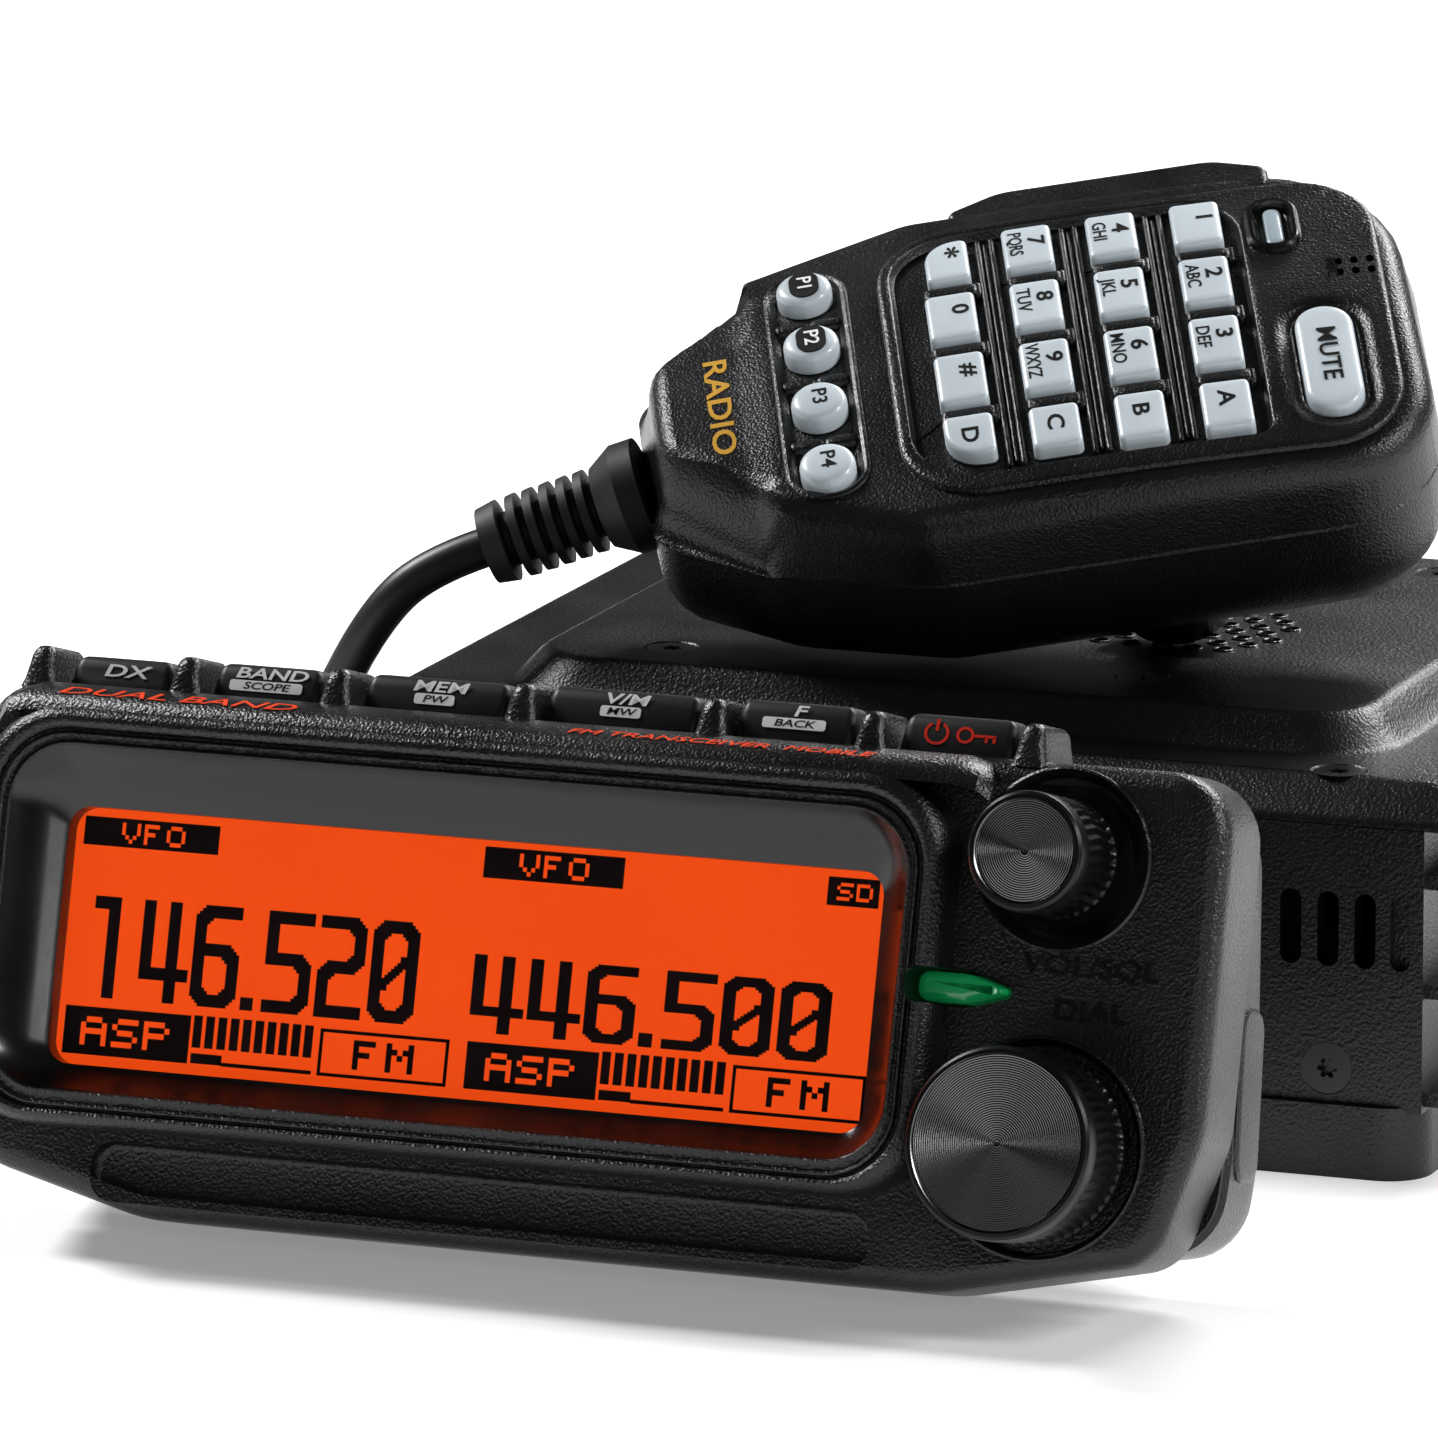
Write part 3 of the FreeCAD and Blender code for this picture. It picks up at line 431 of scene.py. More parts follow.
def fill(bm, loops):
    """Flat face between one outer loop and the holes inside it."""
    edges = []
    for loop in loops:
        for i, vert in enumerate(loop):
            other = loop[(i + 1) % len(loop)]
            edges.append(bm.edges.get((vert, other)) or bm.edges.new((vert, other)))
    bmesh.ops.triangle_fill(bm, use_beauty=True, use_dissolve=False, edges=edges, normal=Vector((0, 0, 1)))


def round_over(outline, z, radius, steps=5):
    """Rings of a quarter round from the wall in to the face at z."""
    turns = [math.pi / 2 * k / steps for k in range(steps + 1)]
    return rings_of(outline, [(-radius * (1 - math.cos(a)), z - radius * (1 - math.sin(a))) for a in turns])


def piece(name, bm, matrix, body, mats, replaces=(), angle=35.0, fix=True):
    if fix:
        bmesh.ops.recalc_face_normals(bm, faces=bm.faces)
    mesh = bpy.data.meshes.new(name)
    bm.to_mesh(mesh)
    bm.free()
    mesh.transform(matrix)
    for mat in mats:
        mesh.materials.append(MAT[mat] if isinstance(mat, str) else mat)
    mesh.shade_smooth()
    mesh.set_sharp_from_angle(angle=math.radians(angle))
    thing = link(name, mesh)
    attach(thing, body)
    if replaces:
        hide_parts(*replaces)
    return thing


def carve(thing, cutter_bm, matrix):
    """Cuts a closed shape out of a piece."""
    bmesh.ops.recalc_face_normals(cutter_bm, faces=cutter_bm.faces)
    mesh = bpy.data.meshes.new("cutter")
    cutter_bm.to_mesh(mesh)
    cutter_bm.free()
    mesh.transform(matrix)
    cutter = link("cutter", mesh)
    mod = thing.modifiers.new("cut", "BOOLEAN")
    mod.object = cutter
    mod.operation = "DIFFERENCE"
    mod.solver = "EXACT"
    done = evaluated_mesh(thing)
    thing.modifiers.clear()
    old = thing.data
    thing.data = done
    bpy.data.meshes.remove(old)
    bpy.data.objects.remove(cutter)
    done.shade_smooth()
    done.set_sharp_from_angle(angle=math.radians(35))


def prism_box(bm, x0, x1, y0, y1, z0, z1):
    corners = ((x0, y0), (x1, y0), (x1, y1), (x0, y1))
    verts = [bm.verts.new((x, y, z)) for z in (z0, z1) for x, y in corners]
    for face in ((3, 2, 1, 0), (4, 5, 6, 7), (0, 1, 5, 4), (1, 2, 6, 5), (2, 3, 7, 6), (3, 0, 4, 7)):
        bm.faces.new([verts[i] for i in face])


def lettering(name, text, size, place, matrix, body, mat, depth=0.05, spin=0.0, stretch=1.0,
              shear=0.0, thick=0.0):
    """Printed or raised words: place is (x, y, z) in the frame, spin turns them about z."""
    curve = bpy.data.curves.new(name, "FONT")
    curve.body = text
    curve.size = size
    curve.align_x = curve.align_y = "CENTER"
    curve.extrude = depth / 2
    curve.shear = shear
    curve.offset = thick
    curve.resolution_u = 3
    source = link(name, curve)
    mesh = evaluated_mesh(source)
    bpy.data.objects.remove(source)
    turned = Matrix.Rotation(math.radians(spin), 4, "Z") @ Matrix.Diagonal((stretch, 1, 1, 1))
    mesh.transform(matrix @ Matrix.Translation(Vector(place)) @ turned)
    mesh.name = name
    mesh.materials.clear()
    mesh.materials.append(MAT[mat])
    thing = link(name, mesh)
    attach(thing, body)
    return thing


# ---- control head ----------------------------------------------------------------------------
HEAD_TOP = 29.0
HEAD_OUTLINE = [
    (-46, -26.5, 20), (42, -26.5, 20), (65.5, -21.5, 6), (69.5, -8, 12),
    (69.5, HEAD_TOP, 7), (-69.5, HEAD_TOP, 7), (-69.5, -8, 12), (-65.5, -21.5, 6)]
REAR_OUTLINE = [
    (-60, -20.9, 10), (60, -20.9, 10), (68.4, -19.4, 7), (69.0, -10, 14),
    (66.0, HEAD_TOP - 2, 7), (-66.0, HEAD_TOP - 2, 7), (-69.0, -10, 14), (-68.4, -19.4, 7)]
LCD = (-57.5, 33.5, -11.0, 16.1)
BEZEL = (                 # grown left, right, down, up from the display; corner radius, height
    (9.5, 7.7, 6.6, 10.6, 9.0, -0.5), (9.5, 7.7, 6.6, 10.6, 9.0, 2.6), (9.3, 7.5, 6.45, 10.35, 8.9, 3.9),
    (8.9, 7.1, 6.1, 9.9, 8.7, 4.8), (8.4, 6.6, 5.7, 9.4, 8.5, 5.3), (7.9, 6.1, 5.4, 8.8, 8.2, 5.5),
    (7.4, 5.6, 5.1, 8.3, 7.9, 5.35), (7.1, 5.3, 4.9, 8.0, 7.7, 5.0), (6.9, 5.1, 4.8, 7.8, 7.5, 4.7),
    (6.75, 4.95, 4.7, 7.65, 7.4, 4.7), (6.55, 4.75, 4.55, 7.45, 7.3, 5.15), (6.35, 4.6, 4.4, 7.3, 7.2, 5.2),
    (6.15, 4.45, 4.2, 7.1, 7.0, 5.0), (6.0, 4.3, 4.0, 6.9, 6.9, 4.8), (5.8, 4.1, 3.6, 6.7, 6.8, 4.8),
    (5.65, 3.9, 3.3, 6.5, 6.7, 5.0), (5.5, 3.75, 3.1, 6.35, 6.6, 5.05), (5.3, 3.55, 2.9, 6.15, 6.4, 4.9),
    (4.9, 3.2, 2.6, 5.7, 6.0, 4.3), (3.2, 2.1, 1.6, 3.6, 4.6, 2.9), (1.6, 1.0, 0.8, 1.8, 3.4, 1.9),
    (0.4, 0.3, 0.3, 0.5, 2.7, 1.35), (0.0, 0.0, 0.0, 0.0, 2.5, 1.1), (0.0, 0.0, 0.0, 0.0, 2.5, -1.6))
BEZEL_SHINE = 17          # rings from here on are the smooth slope
TRAY = rect(-51.7, 35.0, -25.0, -18.6, 2.6)
TRAY_RIBS = (-30.0, 27.0)
# Wells round the knobs: radius, height, material (0 grained, 2 shiny).
VOLUME_WELL = ((9.55, 0.45, 0), (9.3, 0.62, 0), (9.0, 0.5, 2), (8.4, 0.1, 2), (7.6, -0.8, 2),
               (6.9, -1.9, 2), (6.6, -2.1, 0), (3.3, -2.1, 0))
DIAL_WELL = ((11.6, 0.22, 0), (11.35, 0.3, 0), (11.1, 0.2, 2), (10.8, -0.5, 2), (10.6, -0.9, 0),
             (3.3, -0.9, 0))
KEY_ROW = (               # node, centre, width, upper and lower word
    ("key_dx", -55.1, 12.2, "DX", ""), ("key_band", -38.5, 12.9, "BAND", "SCOPE"),
    ("key_memory", -19.5, 17.0, "MEM", "PW"), ("key_vfo", 1.3, 17.8, "V/M", "MW"),
    ("key_function", 20.5, 13.7, "F", "BACK"), ("key_power", 38.4, 13.2, "", ""))
KEY_ARCH = {              # the keys' tops follow a slight arch
    "key_dx": -0.5, "key_band": -0.1, "key_memory": 0.0, "key_vfo": 0.25, "key_function": 0.45,
    "key_power": 0.35}
WORD_SLOPE = math.radians(-12)
GUARDS = (-63.5, -47.0, -30.0, -9.2, 12.0, 29.5, 47.0)
LAMP = [
    (38.3, 3.35, 1.2), (43.5, 3.35, 4.0), (47.6, 4.6, 0.25), (47.6, 5.2, 0.25), (43.5, 6.45, 4.0),
    (38.3, 6.45, 1.2)]


def bezel_ring(left, right, down, up, radius, z):
    x0, x1, y0, y1 = LCD
    return lift(rounded(rect(x0 - left, x1 + right, y0 - down, y1 + up, radius)), z)


def well(bm, outer, x, y, profile):
    """Turned recess: outer is the loop it starts from, profile is (radius, z, material)."""
    last = outer
    for radius, z, mat in profile:
        row = [bm.verts.new(p) for p in lift(circle(x, y, radius, len(outer)), z)]
        bridge(bm, last, row, mat)
        last = row
    bm.faces.new(last)


def head_front():
    bm = bmesh.new()
    skin = rings_of(HEAD_OUTLINE, ((-2.2, -12.0), (-0.7, -12.0), (-0.2, -11.7), (0.0, -11.2), (0.0, -2.6)))
    outer = loft(bm, skin + round_over(HEAD_OUTLINE, 0.0, 2.4)[1:], low=True)[-1]
    rings = [bezel_ring(*row) for row in BEZEL]
    foot = [bm.verts.new(p) for p in bezel_ring(*BEZEL[0][:5], 0.0)]
    rough = loft(bm, rings[1:BEZEL_SHINE + 1])
    slope = loft(bm, rings[BEZEL_SHINE:], mat=1, high=True)
    bridge(bm, foot, rough[0])
    bmesh.ops.remove_doubles(bm, verts=rough[-1] + slope[0], dist=0.0001)
    volume = [bm.verts.new(p) for p in lift(circle(KNOB_A, VOL_B, 9.6), 0.0)]
    dial = [bm.verts.new(p) for p in lift(circle(KNOB_A, DIAL_B, 11.7), 0.0)]
    tray = loop_at(bm, TRAY, 0.0)
    fill(bm, [outer, foot, volume, dial, tray])
    well(bm, volume, KNOB_A, VOL_B, VOLUME_WELL)
    well(bm, dial, KNOB_A, DIAL_B, DIAL_WELL)
    hollow(bm, tray, TRAY, ((-0.15, -0.9), (-0.5, -1.3), (-0.9, -1.4)))
    for x in TRAY_RIBS:
        rib = rect(x - 0.55, x + 0.55, -22.8, -18.9, 0.5)
        solid(bm, rings_of(rib, ((0.0, -1.45), (0.0, -0.6), (-0.15, -0.4), (-0.35, -0.35)), 4))
    case = piece("control_head_front", bm, HEAD, "control_head",
                 ["grain", "gloss", "gloss"], ["head_front_case"])
    cutters = bmesh.new()
    for _, x, width, _, _ in KEY_ROW:
        half = width / 2 + 0.3
        prism_box(cutters, x - half, x + half, HEAD_TOP - 4.4, HEAD_TOP + 1, -10.3, -2.9)
    solid(cutters, rings_of(LAMP, ((0.32, -3.2), (0.32, 7.0)), 6))
    carve(case, cutters, HEAD)


def head_brow():
    """The slope from the bezel's top ridge up to the keys, and the rounded guards between them."""
    bm = bmesh.new()
    slope = ((4.6, 25.6), (4.3, 26.6), (3.4, 27.6), (1.6, 28.4), (-0.8, 28.95), (-2.6, 29.05))
    left, right = -66.0, 44.5
    drops = ((0.0, 4.0), (1.2, 1.2), (3.5, 0.0))      # in from each end, how far the slope falls there
    ends = [(left + run, drop) for run, drop in drops] + [(right - run, drop) for run, drop in drops[::-1]]
    rows = []
    for x, drop in ends:
        rows.append([bm.verts.new((x, y - drop * (0.35 if z > 3 else 0.6), z - (drop * 0.5 if z > 0 else 0)))
                     for z, y in slope])
    for a, b in zip(rows, rows[1:]):
        for i in range(len(slope) - 1):
            bm.faces.new((a[i], b[i], b[i + 1], a[i + 1]))
    piece("head_brow", bm, HEAD, "control_head", ["grain"])
    profile = (               # half width, back, front, height
        (2.1, -11.8, -0.4, 28.2), (1.75, -11.4, -0.7, 29.3), (1.45, -11.1, -0.9, 30.8),
        (1.35, -10.9, -1.1, 31.7), (1.15, -10.7, -1.4, 32.3), (0.75, -10.3, -1.9, 32.7),
        (0.3, -9.8, -2.5, 32.8))
    guards = bmesh.new()
    for x in GUARDS:
        rings = []
        for half, back, front, height in profile:
            ring = rounded(rect(x - half, x + half, back, front, min(half, 1.2) * 0.98), 0.0, 5)
            rings.append([Vector((p[0], height, p[1])) for p in ring])
        solid(guards, rings)
    piece("key_guards", guards, HEAD, "control_head", ["grain"])


def head_rear():
    bm = bmesh.new()
    solid(bm, rings_of(REAR_OUTLINE, (
        (-4.0, -25.0), (-3.0, -25.0), (-1.4, -24.4), (-0.5, -23.4), (-0.1, -22.0), (0.0, -20.0), (0.0, -13.4),
        (-0.5, -12.9), (-0.5, -12.0))))
    pad = rect(-21.5, -14.0, -12.0, 6.0, 2.6)
    for side in (-1, 1):                     # grip pads at the ends
        rings = []
        for grow, depth in ((0.0, -0.3), (0.0, 0.35), (-0.35, 0.62), (-0.9, 0.7)):
            ring = rounded(pad, grow, 6)
            rings.append([Vector((side * (68.2 - 0.045 * p[1] + depth), p[1], p[0])) for p in ring])
        solid(bm, rings)
    eye_y, eye_z, eye_r = -0.8, -38.6, 6.0
    bends = [-math.pi * k / 12 for k in range(1, 12)]
    arm = [(-6.8, -24.6), (5.2, -24.6), (5.2, eye_z)]
    arm += [(eye_y + eye_r * math.cos(t), eye_z + eye_r * math.sin(t)) for t in bends]
    arm += [(-6.8, eye_z)]
    for side in (-1, 1):                     # arms of the tilt hinge
        solid(bm, [[Vector((side * x, y, z)) for y, z in arm] for x in (13.0, 17.0)])
    piece("control_head_rear", bm, HEAD, "control_head", ["grain"], ["head_rear_case"])


def stroke_cells(paths, half):
    """Dots of a character cell whose centres lie within half of any path, measured squarely."""
    cells = set()
    for path in paths:
        for (x0, y0), (x1, y1) in zip(path, path[1:]):
            steps = int(max(abs(x1 - x0), abs(y1 - y0)) * 2) + 1
            for k in range(steps + 1):
                x, y = x0 + (x1 - x0) * k / steps, y0 + (y1 - y0) * k / steps
                near = [(i, j) for i in range(int(x - half), int(x + half + 1))
                        for j in range(int(y - half), int(y + half + 1))]
                cells.update((i, j) for i, j in near if max(abs(i + 0.5 - x), abs(j + 0.5 - y)) <= half)
    return cells


# Big figures on a grid 16 wide and 32 high, as the strokes' centre lines.
BIG = {
    "0": [[(5, 30), (11, 30), (14, 27), (14, 5), (11, 2), (5, 2), (2, 5), (2, 27), (5, 30)]],
    "1": [[(3, 30), (8, 30), (8, 2)]],
    "2": [[(2, 30), (11, 30), (14, 27), (14, 19), (11, 16), (5, 16), (2, 13), (2, 2), (14, 2)]],
    "4": [[(2, 30), (2, 9), (15, 9)], [(11, 30), (11, 2)]],
    "5": [[(14, 30), (2, 30), (2, 17), (11, 17), (14, 14), (14, 5), (11, 2), (2, 2)]],
    "6": [[(14, 30), (5, 30), (2, 27), (2, 5), (5, 2), (11, 2), (14, 5), (14, 15), (11, 18), (5, 18)]],
}
SLASH = [[(4, 11), (12, 20)]]
SMALL = {
    "A": ".###.,#...#,#####,#...#,#...#", "D": "####.,#...#,#...#,#...#,####.",
    "F": "####.,#....,###..,#....,#....", "M": "#...#,##.##,#.#.#,#...#,#...#",
    "O": ".###.,#...#,#...#,#...#,.###.", "P": "####.,#...#,####.,#....,#....",
    "S": ".####,#....,.###.,....#,####.", "V": "#...#,#...#,#...#,.#.#.,..#.."}


def small_dots(text):
    """Lit dots (column, row) of a word in the small type, five rows high and six columns to a letter."""
    return [(n * 6 + i, j) for n, letter in enumerate(text)
            for j, row in enumerate(SMALL[letter].split(",")) for i, dot in enumerate(row) if dot == "#"]


def lcd_box(s0, s1, t0, t1):
    """Millimetres from the display's top left corner for shares of its width and height."""
    width, height = LCD[1] - LCD[0], LCD[3] - LCD[2]
    return s0 * width, s1 * width, t0 * height, t1 * height


def runs(cells):
    """Dots of a cell set joined along their rows, as (first, last + 1, row)."""
    for j in sorted({j for _, j in cells}):
        row = sorted(i for i, other in cells if other == j)
        start = last = row[0]
        for i in row[1:] + [None]:
            if i is None or i != last + 1:
                yield start, last + 1, j
                start = i
            last = i


def figures(text, *box):
    """Large figures from the top to the bottom of a box, with a narrow point."""
    x, x1, top, low = lcd_box(*box)
    step = (x1 - x) / sum(0.38 if c == "." else 1.0 for c in text)
    out = []
    for c in text:
        if c == ".":
            side = step * 0.20
            out.append((x - side * 0.1, low - side * 1.15, x + side * 1.1, low))
            x += step * 0.38
            continue
        dx, dy = step * 0.88 / 16, (low - top) / 32
        for paths, half in [(BIG[c], 2.0)] + ([(SLASH, 1.2)] if c == "0" else []):
            out += [(x + i0 * dx, low - (j + 1) * dy, x + i1 * dx, low - j * dy)
                    for i0, i1, j in runs(stroke_cells(paths, half))]
        x += step
    return out


def inverted(text, box, pad, scale=0.72):
    """A dark box with the letters left lit."""
    x0, x1, y0, y1 = lcd_box(*box)
    tall = (y1 - y0) * scale
    dy = tall / 5
    dx = dy * 0.98
    total = len(text) * 6 - 1
    left, top = (x0 + x1) / 2 - total * dx / 2 + pad, (y0 + y1) / 2 - tall / 2
    right, low = left + total * dx, top + tall
    dark = {(i, j) for i in range(total) for j in range(5)} - set(small_dots(text))
    out = [(x0, y0, x1, top), (x0, low, x1, y1), (x0, top, left, low), (right, top, x1, low)]
    return out + [(left + i0 * dx, top + j * dy, left + i1 * dx, top + (j + 1) * dy)
                  for i0, i1, j in runs(dark)]


def framed(text, *box):
    """Dark letters in a thin frame."""
    x0, x1, y0, y1 = lcd_box(*box)
    line, size = 0.36, (y1 - y0) * 0.62 / 5
    left, top = (x0 + x1) / 2 - (len(text) * 6 - 1) * size / 2, (y0 + y1) / 2 - size * 2.5
    out = [(x0, y0, x1, y0 + line), (x0, y1 - line, x1, y1), (x0, y0, x0 + line, y1), (x1 - line, y0, x1, y1)]
    return out + [(left + i * size, top + j * size, left + (i + 1) * size, top + (j + 1) * size)
                  for i, j in small_dots(text)]


def meter(s0, s1):
    """Ten bars of a signal meter over a stepped line."""
    x0, x1, top, low = lcd_box(s0, s1, 0.768, 0.893)
    step, bend = (x1 - x0) / 10, x0 + 0.25 * (x1 - x0)
    out = [(x0 + i * step, top, x0 + (i + 0.68) * step, low) for i in range(10)]
    for left, right, t0, t1 in ((x0, bend, 0.915, 0.954), (bend, x1 - 0.3, 0.942, 0.957)):
        out.append((left, lcd_box(0, 0, t0, t1)[2], right, lcd_box(0, 0, t0, t1)[3]))
    return out


def lcd_cells():
    """All lit dots as rectangles (x0, y0, x1, y1) in millimetres from the display's top left corner."""
    out = figures("146.520", 0.029, 0.445, 0.339, 0.733) + figures("446.500", 0.506, 0.950, 0.438, 0.738)
    out += inverted("VFO", (0.010, 0.178, 0.033, 0.144), 0.2)
    out += inverted("VFO", (0.506, 0.677, 0.023, 0.143), 0.0)
    out += inverted("SD", (0.924, 0.986, 0.028, 0.137), 0.15, 0.62)
    out += inverted("ASP", (0.0085, 0.165, 0.771, 0.957), -0.2, 0.6)
    out += inverted("ASP", (0.507, 0.668, 0.774, 0.957), -0.2, 0.6)
    out += meter(0.169, 0.322) + meter(0.672, 0.827)
    return out + framed("FM", 0.326, 0.485, 0.775, 0.958) + framed("FM", 0.831, 0.992, 0.775, 0.958)


def display():
    x0, x1, y0, y1 = LCD
    bm = bmesh.new()
    solid(bm, rings_of(rect(x0, x1, y0, y1, 2.5), ((0.0, -5.0), (0.0, -1.32))))
    piece("display_glass", bm, HEAD, "control_head", ["lcd"], ["display_panel"])
    bm = bmesh.new()
    for left, top, right, foot in lcd_cells():
        prism_box(bm, x0 + left, x0 + right, y1 - foot, y1 - top, -1.33, -1.24)
    piece("display_segments", bm, HEAD, "control_head", ["segment"], fix=False)


def status_lens():
    bm = bmesh.new()
    dome = ((0.0, -3.0), (0.0, 1.0), (-0.08, 1.5), (-0.3, 1.9), (-0.65, 2.15), (-1.0, 2.25))
    solid(bm, rings_of(LAMP, dome, 6))
    piece("status_lens", bm, HEAD, "control_head", ["green"], ["status_lamp"])


KNOB_REACH = 13.0
KNURL_STEPS, KNURL_LEVELS, KNURL_DEPTH = 8, 13, 0.34      # points to a rib, rings over the height, depth
GROOVE_PITCH = 0.24


def knob(name, y, radius, ribs):
    """Turned face with fine rings, a narrow rim and a side of chevron ribs."""
    bm = bmesh.new()
    low, high = 2.2, KNOB_REACH - 2.6

    def ring(r, z, knurl=0.0, lean=0.0):
        points = []
        for i in range(ribs * KNURL_STEPS):
            a = 2 * math.pi * i / (ribs * KNURL_STEPS)
            phase = (i / KNURL_STEPS + lean) % 1.0
            cut = knurl * (1 - abs(2 * phase - 1)) ** 0.7
            points.append(Vector((KNOB_A + (r - cut) * math.cos(a), y + (r - cut) * math.sin(a), z)))
        return points

    side = [ring(radius - 0.25, 1.0), ring(radius, 1.25), ring(radius, low - 0.25)]
    for k in range(KNURL_LEVELS):
        share = k / (KNURL_LEVELS - 1)
        side.append(ring(radius, low + (high - low) * share, KNURL_DEPTH, abs(share - 0.5)))
    side.append(ring(radius, high + 0.25))
    side += [ring(radius - inset, KNOB_REACH - drop)
             for inset, drop in ((0.0, 0.8), (0.12, 0.35), (0.42, 0.05), (0.8, 0.0))]
    body_rows = loft(bm, side, low=True)
    face = [ring(radius - 0.8, KNOB_REACH), ring(radius - 0.95, KNOB_REACH - 0.18)]
    r = radius - 1.0
    while r > 0.3:
        face += [ring(r, KNOB_REACH - 0.18), ring(r - GROOVE_PITCH * 0.5, KNOB_REACH - 0.235)]
        r -= GROOVE_PITCH
    face_rows = loft(bm, face, mat=1, high=True)
    bmesh.ops.remove_doubles(bm, verts=body_rows[-1] + face_rows[0], dist=0.0001)
    centre = HEAD @ Vector((KNOB_A, y, KNOB_REACH))
    piece(name + "_cap", bm, HEAD, name + "_knob", ["anodised", turned_face(name, centre)],
          [name + "_knob"], angle=25)


def turned_face(name, centre):
    """Lathe-turned black metal: grooves run round the knob's axis, so light fans out from it."""
    mat, nodes, links, shader = new_material(name + "_turned_face", (0.10, 0.10, 0.105), 0.24, 1.0)
    shader.inputs["Anisotropic"].default_value = 0.92

    def vector_step(operation, source, at=0, constant=None):
        node = nodes.new("ShaderNodeVectorMath")
        node.operation = operation
        links.new(source, node.inputs[at])
        if constant is not None:
            node.inputs[1 - at].default_value = constant
        return node.outputs

    out = (HEAD.to_3x3() @ Vector((0, 0, 1))).normalized()
    coords = nodes.new("ShaderNodeTexCoord").outputs["Object"]
    spoke = vector_step("SUBTRACT", coords, 0, centre)[0]
    around = vector_step("CROSS_PRODUCT", spoke, 1, out)[0]
    links.new(vector_step("NORMALIZE", around)[0], shader.inputs["Tangent"])
    lines = nodes.new("ShaderNodeMath")
    lines.operation = "MULTIPLY"
    links.new(vector_step("LENGTH", spoke)["Value"], lines.inputs[0])
    lines.inputs[1].default_value = 2 * math.pi / (GROOVE_PITCH * MM)
    wave = nodes.new("ShaderNodeMath")
    wave.operation = "SINE"
    links.new(lines.outputs[0], wave.inputs[0])
    links.new(remap(nodes, links, wave.outputs[0], -1.0, 1.0, 0.12, 0.24), shader.inputs["Roughness"])
    share = remap(nodes, links, wave.outputs[0], -1.0, 1.0, 0.0, 1.0)
    metal = blend_colour(nodes, links, share, (0.016, 0.016, 0.017), (0.13, 0.13, 0.135))
    links.new(metal, shader.inputs["Base Color"])
    return mat


def top_keys():
    """Rubber keys with rounded shoulders."""
    profile = ((0.0, -3.0), (0.0, 0.3), (-0.2, 1.2), (-0.42, 2.3), (-0.7, 3.0), (-1.05, 3.4), (-1.5, 3.62),
               (-2.2, 3.7))
    for name, x, width, _, _ in KEY_ROW:
        bm = bmesh.new()
        rings = []
        for grow, height in profile:
            top = HEAD_TOP + height + (KEY_ARCH[name] if height > 1 else 0)
            ring = rounded(rect(x - width / 2, x + width / 2, -9.95, -3.25, 1.5), grow, 6)
            rings.append([Vector((p[0], top, p[1])) for p in ring])
        solid(bm, rings)
        piece(name + "_cap", bm, HEAD, name, ["keys"], [name])


def key_word(name, part, text, size, x, y, stretch, thick):
    lettering(name + "_" + part, text, size, (x, y, 0.0), key_face(name), name, "ink",
              stretch=stretch, shear=0.2, thick=thick)


def key_face(name):
    """Frame of the sloping front of a top key, at its middle."""
    x = {key[0]: key[1] for key in KEY_ROW}[name]
    place = Matrix.Translation((x, HEAD_TOP + 2.1 + KEY_ARCH[name], -3.58))
    return HEAD @ place @ Matrix.Rotation(WORD_SLOPE, 4, "X")


def head_words():
    """Printed words on the keys' fronts and the brow, and raised words by the knobs."""
    for name, _, _, upper, lower in KEY_ROW:
        if lower:
            key_word(name, "upper", upper, 1.65, 0.2, 0.62, 1.8, 0.025)
            bm = bmesh.new()
            reach = 0.62 * len(lower)
            pill = rect(-1.2 - reach, 0.8 + reach, -1.3, -0.14, 0.3)
            solid(bm, rings_of(pill, ((0.0, -0.03), (0.0, 0.03)), 4))
            piece(name + "_pill", bm, key_face(name), name, ["ink"])
            lettering(name + "_lower", lower, 1.08, (-0.2, -0.72, 0.045), key_face(name), name,
                      "black_ink", 0.03, 0, 1.6, 0.2, 0.01)
        elif upper:
            key_word(name, "upper", upper, 1.9, 0.3, 0.1, 1.8, 0.03)
    power_symbol()
    brow = HEAD @ Matrix.Translation((0, 27.95, 2.75)) @ Matrix.Rotation(math.radians(-62), 4, "X")
    for name, text, size, x, stretch in (
            ("word_dual_band", "DUAL BAND", 2.2, -46.2, 2.15),
            ("word_transceiver", "FM TRANSCEIVER  MOBILE", 1.5, 14.5, 1.9)):
        lettering(name, text, size, (x, -0.1, 0.12), brow, "control_head", "orange_ink",
                  stretch=stretch, shear=0.3)
    for name, text, x, y in (("word_volume", "VOL/SQL", 56.2, 8.0), ("word_dial", "DIAL", 56.5, 3.5)):
        lettering(name, text, 2.9, (x, y, 0.0), HEAD, "control_head", "gloss",
                  depth=0.5, stretch=1.28, thick=0.04)


